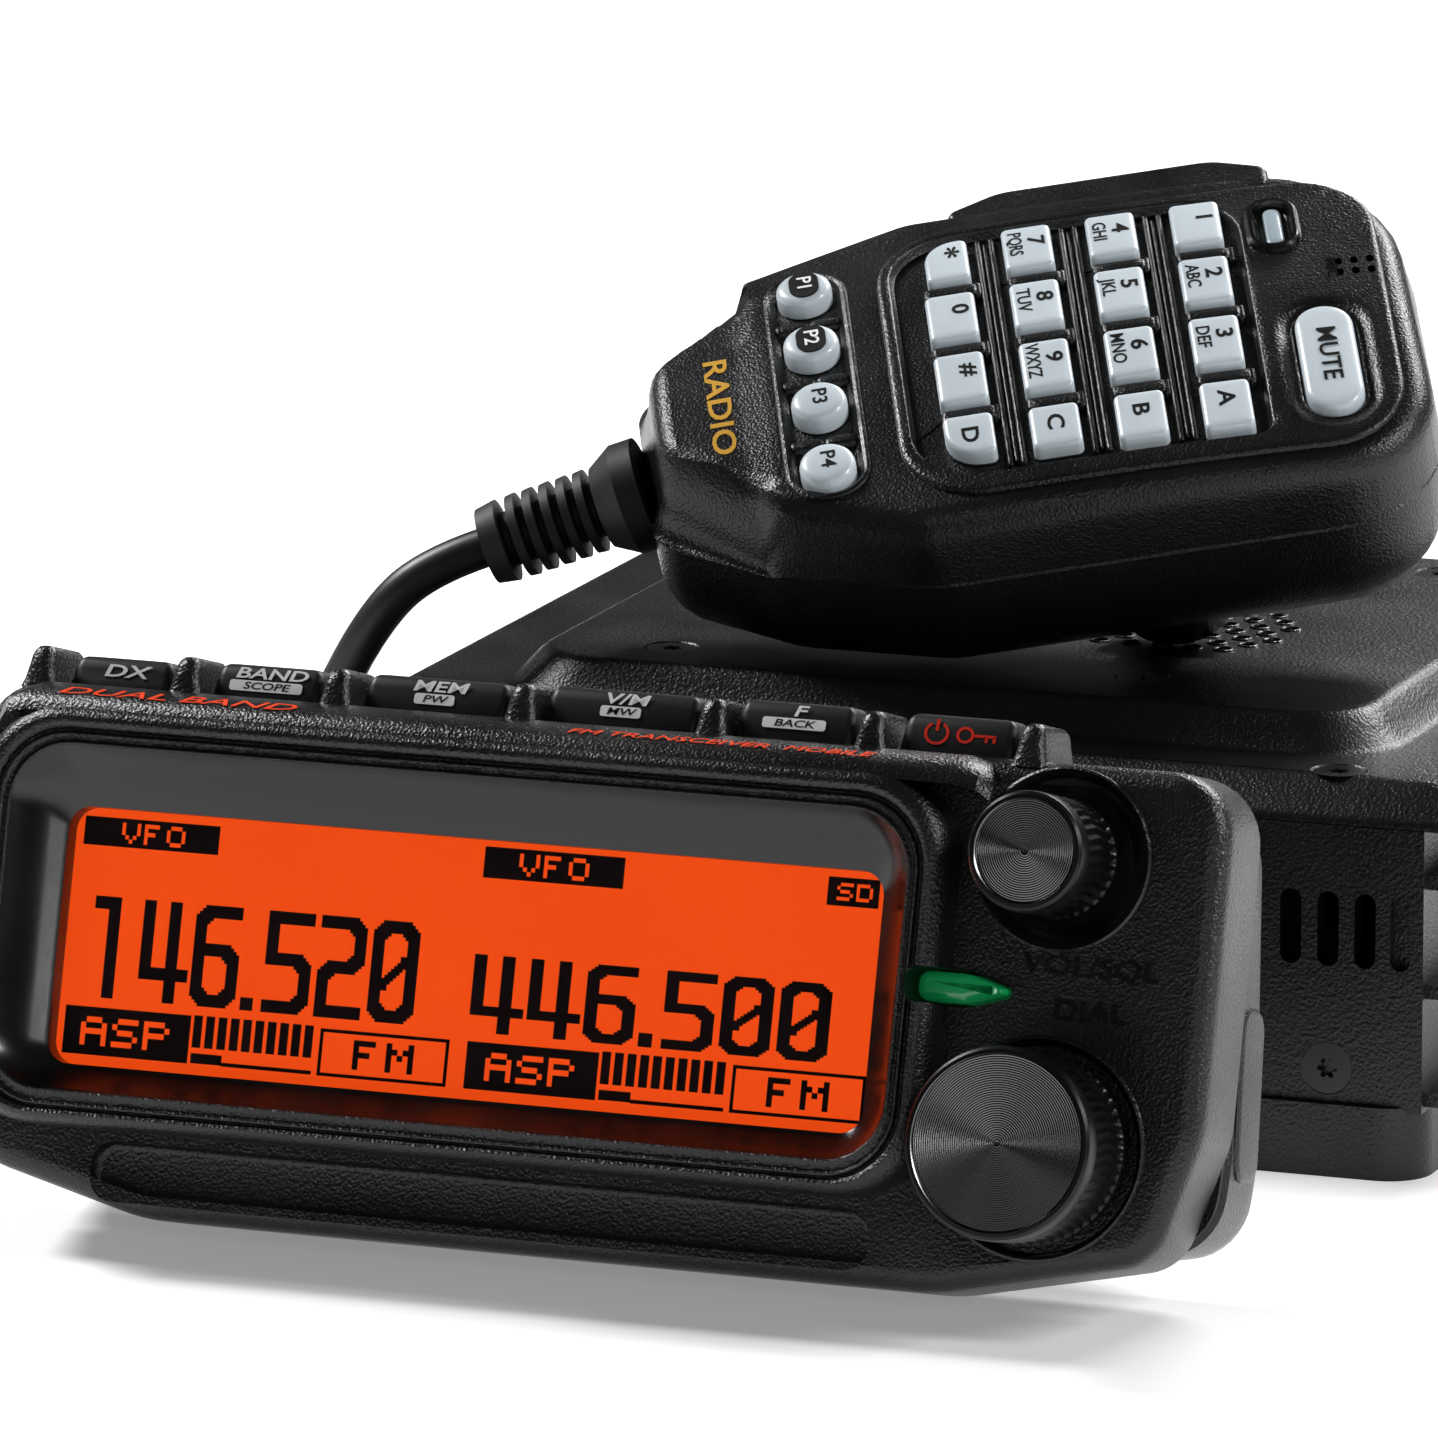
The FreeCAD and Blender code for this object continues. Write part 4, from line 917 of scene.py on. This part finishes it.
def power_symbol():
    """Power sign and a small key, in red."""
    place = HEAD @ Matrix.Translation((38.4, HEAD_TOP + 2.2, -3.58)) @ Matrix.Rotation(WORD_SLOPE, 4, "X")
    back, front, line = -0.03, 0.04, 0.24
    bm = bmesh.new()

    def band(x, y, radius, start, stop, steps=28):
        rings = []
        for k in range(steps + 1):
            a = start + (stop - start) * k / steps
            rings.append([Vector((x + r * math.cos(a), y + r * math.sin(a), z)) for r, z in (
                (radius - line, back), (radius, back), (radius, front), (radius - line, front))])
        solid(bm, rings)

    band(-1.9, -0.1, 1.05, math.radians(120), math.radians(420))
    band(0.5, -0.1, 0.75, 0, math.radians(359.9))
    power_bar, shaft = (-2.03, -1.77, 0.1, 1.15), (1.2, 3.1, -0.22, 0.02)
    teeth = ((2.2, 2.42, -0.65, -0.1), (2.85, 3.1, -0.65, -0.1))
    for bar in (power_bar, shaft, *teeth):
        prism_box(bm, *bar, back, front)
    place = place @ Matrix.Diagonal((1.3, 1.2, 1, 1))
    piece("key_power_symbol", bm, place, "key_power", ["red_ink"])


head_front()
head_brow()
head_rear()
display()
status_lens()
knob("volume", VOL_B, 6.25, 34)
knob("dial", DIAL_B, 10.0, 54)
top_keys()
head_words()


# ---- hand microphone -------------------------------------------------------------------------
MIC_SEAM, MIC_BACK = -11.0, -26.5
MIC_BASE = [(-50.2, -11.4, 5), (-37.6, -20.4, 7), (-20, -26, 14), (37, -26, 13),
            (37, 26.6, 15), (-18, 26.8, 12), (-37.2, 21.0, 5), (-50.2, 11.4, 5)]
MIC_REAR = [(-50, -11, 6), (-37, -20, 12), (-20, -26, 16), (37, -26, 13),
            (37, 26.6, 15), (-18, 26.8, 14), (-37.2, 20.4, 8), (-50, 11, 6)]
MIC_FACE = [(-48.6, -9.6, 3), (-38.4, -18.8, 3), (-21, -25.8, 9), (37.0, -25.8, 12.5),
            (35.8, 26.8, 17), (-18, 27.0, 9), (-36.8, 21.4, 3), (-48.6, 9.6, 3)]
KEYPAD_WELL = [(-20.6, -20.4, 7.5), (18.9, -20.4, 2.0), (18.9, 21.6, 7.5), (-20.6, 21.6, 7.5)]
SHORTER = (0.8, 1.0, 1.6, 2.3)        # how far the lowest row's keys stop short of a full key
MIC_PLATE = rect(-21.9, 33.6, -22.9, 22.9, 9.0)
P_PANEL = rect(-34.6, -25.2, -19.9, 19.2, 4.4)
MUTE_KEY = rect(22.8, 29.2, -18.3, -1.6, 3.15)
MUTE_DISH = rect(20.5, 31.5, -20.6, 0.7, 5.3)
LAMP_LENS = rect(21.5, 23.5, 10.6, 17.7, 0.98)
LAMP_RING = rect(19.35, 25.45, 9.4, 19.6, 3.0)
SOUND_HOLES = [rect(x - 0.42, x + 0.42, y - 0.62, y + 0.62, 0.4)
               for x in (28.85, 30.6, 32.35) for y in (4.65, 6.55)]
KEY_W, KEY_H, KEY_PITCH_X, KEY_PITCH_Y = 5.5, 8.1, 9.4, 10.75
KEYPAD = (
    (("1", "1", ""), ("4", "4", "GHI"), ("7", "7", "PQRS"), ("star", "*", "")),
    (("2", "2", "ABC"), ("5", "5", "JKL"), ("8", "8", "TUV"), ("0", "0", "")),
    (("3", "3", "DEF"), ("6", "6", "MNO"), ("9", "9", "WXYZ"), ("hash", "#", "")),
    (("a", "A", ""), ("b", "B", ""), ("c", "C", ""), ("d", "D", "")))
P_X, P_PITCH, P_RADIUS, P_SHIFT = -29.9, 10.2, 3.1, -0.47
STEM = -3.7        # where the key caps end inside


def ease(t):
    t = max(0.0, min(1.0, t))
    return t * t * (3 - 2 * t)


def crown(x, y):
    """How far the microphone's face falls away from flat."""
    side = min(y, 20.6)
    end = 0.0011 if x > 0 else 0.0004
    tail = ease((-36.4 - x) / 1.8)
    shoulder = 0.85 * max(0.0, abs(y) - 7.0 - 0.83 * (x + 47.0))
    return 0.00265 * side * side + end * x * x + tail * (0.5 + shoulder)


def crowned(p):
    share = max(0.0, min(1.0, (p.z - MIC_SEAM) / 7.0))
    return Vector((p.x, p.y, p.z - share * crown(p.x, p.y)))


def mixed(low, high, t):
    return [tuple(a + (b - a) * t for a, b in zip(p, q)) for p, q in zip(low, high)]


def slice_up(bm, xs, ys):
    """Cuts the faces along lines so that a bend shows as a curve."""
    for axis, values in ((0, xs), (1, ys)):
        for value in values:
            at, normal = Vector((0, 0, 0)), Vector((0, 0, 0))
            at[axis], normal[axis] = value, 1
            everything = bm.verts[:] + bm.edges[:] + bm.faces[:]
            bmesh.ops.bisect_plane(bm, geom=everything, dist=0.0005, plane_co=at, plane_no=normal)


def p_key(i, radius):
    y = (1.5 - i) * P_PITCH + P_SHIFT
    return rect(P_X - radius, P_X + radius, y - radius, y + radius, radius - 0.01)


def key_outline(row, column):
    x, y = (1.5 - column) * KEY_PITCH_X, (1.5 - row) * KEY_PITCH_Y
    star, letter_d = (row, column) == (0, 3), (row, column) == (3, 3)
    left = x - KEY_W / 2 + (0.6 if star else 0.0)
    foot = y - KEY_H / 2 + (SHORTER[column] if row == 3 else 0.0)
    top = y + KEY_H / 2 + (-0.6 if star else 0.5 if letter_d else 0.0)
    corners = rect(left, x + KEY_W / 2, foot, top, 0.75)
    if star:
        corners[3] = (left, top, 3.6)
    if letter_d:
        corners[0] = (left, foot, 3.9)
    return corners


def mic_skin():
    """Rings from the seam up the facets and round the edge of the microphone's face."""
    skin = rings_of(MIC_BASE, ((-1.6, MIC_SEAM), (-0.3, MIC_SEAM), (0, MIC_SEAM + 0.3)))
    for share in (0.25, 0.5, 0.75, 1.0):
        skin.append(lift(rounded(mixed(MIC_BASE, MIC_FACE, share)), MIC_SEAM + 0.3 + share * 7.2))
    turns = [math.pi / 12 * k for k in range(1, 7)]
    return skin + rings_of(MIC_FACE, [(-2.5 * (1 - math.cos(a)), -3.5 + 3.5 * math.sin(a)) for a in turns])


def mic_front():
    """Front shell: raised plate with keypad, MUTE dish, lamp ring and sound holes, and the P keys' panel."""
    bm = bmesh.new()
    outer = loft(bm, mic_skin(), low=True)[-1]
    plate = loop_at(bm, MIC_PLATE, 0.0)
    panel = loop_at(bm, P_PANEL, 0.0)
    fill(bm, [outer, plate, panel])

    top = hollow(bm, plate, MIC_PLATE, ((-0.05, 0.3), (-0.25, 0.52), (-0.6, 0.6)), close=False)
    pad, mute, lamp = (loop_at(bm, outline, 0.6) for outline in (KEYPAD_WELL, MUTE_DISH, LAMP_RING))
    slots = [loop_at(bm, hole, 0.6) for hole in SOUND_HOLES]
    fill(bm, [top, pad, mute, lamp] + slots)
    for loop, hole in zip(slots, SOUND_HOLES):
        hollow(bm, loop, hole, ((-0.06, 0.3), (-0.08, -1.5)), 1)
    hollow(bm, lamp, LAMP_RING,
           ((-0.1, 1.0), (-0.45, 1.3), (-0.9, 1.3), (-1.15, 0.9), (-1.3, 0.0), (-1.45, -0.1)), 1)
    hollow(bm, mute, MUTE_DISH,
           ((-0.35, 0.52), (-0.8, 0.3), (-1.2, 0.05), (-1.7, 0.0), (-1.95, 0.1), (-2.1, -3.6)))

    keys = [key_outline(row, column) for row in range(4) for column in range(4)]
    rim = ((-0.12, 0.52), (-0.25, 0.3), (-0.35, -0.2), (-0.6, -0.5))
    pierced(bm, hollow(bm, pad, KEYPAD_WELL, rim, close=False), keys, -0.5, 0.22, 0.2)
    rim = ((-0.12, 0.22), (-0.4, 0.3), (-0.75, 0.15), (-1.05, -0.4), (-1.35, -0.7))
    round_keys = [p_key(i, P_RADIUS) for i in range(4)]
    pierced(bm, hollow(bm, panel, P_PANEL, rim, close=False), round_keys, -0.7, 0.25, 0.22)
    p_saddles(bm)
    for recess, low, high in ((KEYPAD_WELL, -0.95, -0.62), (P_PANEL, -1.1, -0.82)):   # rubber mats
        solid(bm, rings_of(recess, ((-0.3, low), (-0.3, high))))
    keypad_bars(bm)
    slice_up(bm, [-48 + 2.0 * i for i in range(43)], [-25 + 2.0 * i for i in range(26)])
    for vert in bm.verts:
        vert.co = crowned(vert.co)
    piece("microphone_front", bm, MIC, "main_unit", ["mic", "gloss"], ["mic_front_shell"])


def pierced(bm, floor, outlines, z, gap, throat):
    """The floor of a recess with a deep hole for each key."""
    holes = [loop_at(bm, outline, z, gap) for outline in outlines]
    fill(bm, [floor] + holes)
    for loop, outline in zip(holes, outlines):
        hollow(bm, loop, outline, ((throat, -3.6),), 1)


def p_saddles(bm):
    """Saddles between the round keys."""
    for i in (1, 2, 3):
        y = (2 - i) * P_PITCH + P_SHIFT
        for side in (-2.0, 2.0):
            x = P_X + side
            saddle = rect(x - 2.1, x + 2.1, y - 0.95, y + 0.95, 0.9)
            solid(bm, rings_of(saddle, ((0.0, -0.8), (-0.1, -0.45), (-0.35, -0.2), (-0.6, -0.12)), 5))


def keypad_bars(bm):
    """Ridges that part the keypad: one long pair between columns, a short bar between rows."""
    for column in range(3):
        x = (1.0 - column) * KEY_PITCH_X
        for shift in (-0.75, 0.75):
            bar_ring(bm, x + shift - 0.34, x + shift + 0.34, -19.3, 20.4, 0.2, 0.3)
        bar_ring(bm, x - 0.3, x + 0.3, -18.6, 19.8, -0.1, 0.28)
    for row in range(3):
        y = (1.0 - row) * KEY_PITCH_Y
        for column in range(4):
            x = (1.5 - column) * KEY_PITCH_X
            bar_ring(bm, x - 2.7, x + 3.2, y - 0.98, y + 0.98, 0.55, 0.6)
            bar_ring(bm, x + 2.9, x + 3.7, y - 1.2, y + 1.2, 0.35, 0.38)


def bar_ring(bm, x0, x1, y0, y1, top, radius):
    profile = ((0.0, -0.6), (0.0, top - 0.3), (-0.1, top - 0.1), (-0.27, top))
    solid(bm, rings_of(rect(x0, x1, y0, y1, radius), profile, 4))


def mic_rear():
    bm = bmesh.new()
    solid(bm, rings_of(MIC_REAR, (
        (-1.6, MIC_SEAM), (-0.3, MIC_SEAM), (0, MIC_SEAM - 0.3), (0, -15.0), (-0.1, -17.5), (-0.5, -19.5),
        (-1.3, -21.6), (-2.6, -23.5), (-4.3, -25.1), (-6.2, -26.1), (-8.2, MIC_BACK))))
    piece("microphone_rear", bm, MIC, "main_unit", ["mic"], ["mic_rear_shell"])


def settle(verts):
    """Lowers points of a flat drawing onto the microphone's crowned face."""
    for vert in verts:
        vert.co.z -= crown(vert.co.x, vert.co.y)


def on_mic(name, rings, body, mat, replaces=()):
    """A closed piece in the microphone's face, following its crown."""
    bm = bmesh.new()
    solid(bm, rings)
    settle(bm.verts)
    piece(name, bm, MIC, body, [mat], replaces)


def key_cap(name, outline, profile, node):
    on_mic(name, rings_of(outline, profile), node, "white", [node])


def on_face(name, text, size, x, y, z, body, mat, stretch=1.0, thick=0.0):
    """Lettering printed across the microphone's face."""
    thing = lettering(name, text, size, (x, y, z), Matrix(), body, mat, 0.04, -90, stretch, 0.0, thick)
    settle(thing.data.vertices)
    thing.data.transform(MIC)


CAP_PROFILE = ((0.0, STEM), (0.0, 0.8), (-0.1, 1.06), (-0.3, 1.22), (-0.6, 1.3), (-1.1, 1.34))
ROUND_PROFILE = (
    (0.0, STEM), (0.0, 0.8), (-0.12, 1.2), (-0.4, 1.5), (-0.85, 1.67), (-1.6, 1.78), (-2.4, 1.82))
MUTE_PROFILE = ((0.0, STEM), (0.0, 0.7), (-0.12, 1.05), (-0.4, 1.3), (-0.85, 1.42), (-1.6, 1.47))
LENS_PROFILE = ((0.0, -3.4), (0.0, 0.5), (-0.12, 0.75), (-0.4, 0.9), (-0.8, 0.95))


def mic_keys():
    for row, names in enumerate(KEYPAD):
        for column, (name, figure, letters) in enumerate(names):
            node = "mic_key_" + name
            x, y = (1.5 - column) * KEY_PITCH_X, (1.5 - row) * KEY_PITCH_Y
            key_cap(node + "_cap", key_outline(row, column), CAP_PROFILE, node)
            plain = (0.0, 1.1) if row == 3 else (0.95, 0.8)
            dx, dy = (0.3, 0.9) if figure == "*" else plain
            size = 3.6 if figure == "*" else 2.6
            on_face(node + "_figure", figure, size, x + dx, y + dy, 1.35, node, "black_ink", 1.35, 0.05)
            if letters:
                wide = 1.0 if len(letters) == 3 else 0.88
                on_face(node + "_letters", letters, 2.15, x - 1.35, y + 0.55, 1.35, node, "black_ink",
                        wide, 0.02)


def p_keys():
    """Round keys; the first two have a dark oval with a white figure."""
    for i in range(4):
        node = "mic_key_p%d" % (i + 1)
        y = (1.5 - i) * P_PITCH + P_SHIFT
        key_cap(node + "_cap", p_key(i, P_RADIUS), ROUND_PROFILE, node)
        height, ink, slot = 1.83, "black_ink", "key_rubber"
        if i < 2:
            height, ink, slot = 1.9, "ink", "white_keys"
            oval = rect(P_X - 1.55, P_X + 1.75, y - 2.3, y + 2.3, 1.6)
            rings = rings_of(oval, ((0.0, 1.65), (0.0, 1.87)), 10)
            on_mic(node + "_oval", rings, node, "black_ink")
        on_face(node + "_figure", "P%d" % (i + 1), 2.3, P_X + 0.1, y + 0.1, height, node, ink, 1.15, 0.03)


def mic_details():
    key_cap("mic_mute_cap", MUTE_KEY, MUTE_PROFILE, "mic_mute_key")
    on_face("mic_mute_word", "MUTE", 3.0, 26.0, -9.9, 1.48, "mic_mute_key", "black_ink", 1.12, 0.03)
    on_mic("mic_lamp_cover", rings_of(LAMP_LENS, LENS_PROFILE), "main_unit", "lamp",
           ["mic_lamp_lens"])
    on_face("mic_word", "MIC", 1.7, 28.0, 5.6, 0.62, "main_unit", "gloss", 1.25, 0.02)
    on_face("gold_word", "RADIO", 3.7, -40.9, -1.6, 0.05, "main_unit", "gold_ink", 1.45, 0.06)


mic_front()
mic_rear()
mic_keys()
p_keys()
mic_details()


# ---- main unit -------------------------------------------------------------------------------
COVER_FOOT = (-66.7, 66.7, -55.0, 55.0, 2.0)
COVER_EDGE = (-62.2, 62.2, -50.5, 50.5, 3.0)
HILL_FOOT = (-52.0, 52.0, -42.8, 48.0, 10.0)
HILL_TOP = (-47.5, 47.5, -39.0, 44.2, 8.0)
SPLIT_Z, COVER_Z, HILL_Z = 38.5, 43.0, 47.0
HILL_SCREWS = ((-33.7, -31.4), (20.0, -28.0), (-33.7, 37.0), (33.7, 37.0))
MARGIN_SCREWS = ((-49.2, -48.2), (49.2, -48.2))
SPEAKER, GRILLE_RADIUS = (14.0, -2.0), 14.5
COVER_SKIN = (               # share of the way from COVER_FOOT to COVER_EDGE, height
    (0.35, SPLIT_Z), (0.03, SPLIT_Z), (0.0, SPLIT_Z + 0.15), (0.0, SPLIT_Z + 0.5), (0.03, 39.35),
    (0.1, 39.75), (0.5, 41.2), (0.85, 42.45), (0.95, 42.78), (1.04, 42.95), (1.14, COVER_Z))
HILL_SKIN = (
    (0.06, 43.06), (0.2, 43.5), (0.5, 45.05), (0.74, 46.3), (0.86, 46.75), (0.97, 46.95), (1.1, HILL_Z))
SCREW_SINK = ((3.15, 0), (3.0, -0.12), (2.9, -0.3), (1.5, -1.5))       # radius, height
SOUND_HOLE = ((1.25, 0), (1.15, 0.14), (0.98, 0.2), (0.84, 0.1), (0.8, -0.5), (0.78, -2.0))


def between(low, high, t, z):
    x0, x1, y0, y1, radius = (a + (b - a) * t for a, b in zip(low, high))
    return lift(rounded(rect(x0, x1, y0, y1, radius)), z)


def round_hole(bm, x, y, z, profile, holes):
    """A hole's loop for fill, and the rest of it to build afterwards."""
    loop = [bm.verts.new(p) for p in lift(circle(x, y, profile[0][0], 20), z)]
    holes.append((loop, x, y, z, profile[1:]))
    return loop


def finish_holes(bm, holes):
    for loop, x, y, z, profile in holes:
        well(bm, loop, x, y, [(r, z + dz, 0) for r, dz in profile])


def cover():
    """Top cover: sloping edge, raised plateau, sunk screw seats and the speaker's grille."""
    bm = bmesh.new()
    outer = loft(bm, [between(COVER_FOOT, COVER_EDGE, t, z) for t, z in COVER_SKIN], low=True)[-1]
    foot = [bm.verts.new(p) for p in between(HILL_FOOT, HILL_TOP, -0.08, COVER_Z)]
    screws = []
    margin = [round_hole(bm, x, y, COVER_Z, SCREW_SINK, screws) for x, y in MARGIN_SCREWS]
    fill(bm, [outer, foot] + margin)
    hill = loft(bm, [between(HILL_FOOT, HILL_TOP, t, z) for t, z in HILL_SKIN])
    bridge(bm, foot, hill[0])
    holes = []
    for row in range(7):
        for column in range(9):
            dx, dy = (column - 4) * 3.6 + (row % 2) * 1.8 - 0.9, (row - 3) * 3.2
            if math.hypot(dx, dy) < GRILLE_RADIUS:
                round_hole(bm, SPEAKER[0] + dx, SPEAKER[1] + dy, HILL_Z, SOUND_HOLE, holes)
    for x, y in HILL_SCREWS:
        round_hole(bm, x, y, HILL_Z, SCREW_SINK, holes)
    fill(bm, [hill[-1]] + [hole[0] for hole in holes])
    finish_holes(bm, holes + screws)
    piece("case_cover", bm, WORLD, "main_unit", ["cast"], ["top_cover"])


cover()


# ---- studio ----------------------------------------------------------------------------------
def area_light(name, at, toward, size, power):
    data = bpy.data.lights.new(name, "AREA")
    data.shape = "RECTANGLE"
    data.size, data.size_y = size
    data.energy = power
    light = link(name, data)
    aim = (Vector(toward) - Vector(at)).to_track_quat("-Z", "Y")
    light.matrix_world = Matrix.Translation(Vector(at)) @ aim.to_matrix().to_4x4()


FLOOR_HALF = 6.0
LIGHTS = (               # name, place, aim, size, watts
    ("key_light", (-1.25, 0.15, 1.15), (0, 0, 0.05), (0.4, 0.4), 30),
    ("back_light", (0.35, 1.25, 1.0), (0, 0.05, 0.05), (1.1, 0.3), 26),
    ("side_light", (1.4, -0.1, 0.85), (0, 0, 0.04), (0.3, 0.5), 14),
    ("front_light", (0.75, -1.5, 0.55), (0, -0.1, 0.05), (0.25, 0.2), 2))


def pale_floor():
    bm = bmesh.new()
    corners = ((-1, -1), (1, -1), (1, 1), (-1, 1))
    bm.faces.new([bm.verts.new((x * FLOOR_HALF, y * FLOOR_HALF, 0)) for x, y in corners])
    mesh = bpy.data.meshes.new("floor")
    bm.to_mesh(mesh)
    bm.free()
    mat, nodes, links, shader = new_material("pale_floor", (0.93, 0.93, 0.93), 0.9, 0.0, 0.1)
    coords = nodes.new("ShaderNodeTexCoord").outputs["Object"]
    cloud = noise(nodes, links, coords, 2.0)
    tone = blend_colour(nodes, links, cloud, (0.92, 0.92, 0.92), (0.94, 0.94, 0.94))
    links.new(tone, shader.inputs["Base Color"])
    shader.inputs["Emission Color"].default_value = (1, 1, 1, 1)
    shader.inputs["Emission Strength"].default_value = 0.25
    mesh.materials.append(mat)
    floor = link("floor", mesh)


def studio():
    """Pale floor, dim white surroundings and soft lights."""
    pale_floor()
    world = bpy.data.worlds.new("studio")
    bpy.context.scene.world = world
    world.use_nodes = True
    background = world.node_tree.nodes["Background"]
    background.inputs["Color"].default_value = (1, 1, 1, 1)
    background.inputs["Strength"].default_value = 0.06
    for light in LIGHTS:
        area_light(*light)
    bpy.context.scene.view_settings.view_transform = "Standard"


studio()
bpy.context.view_layer.update()
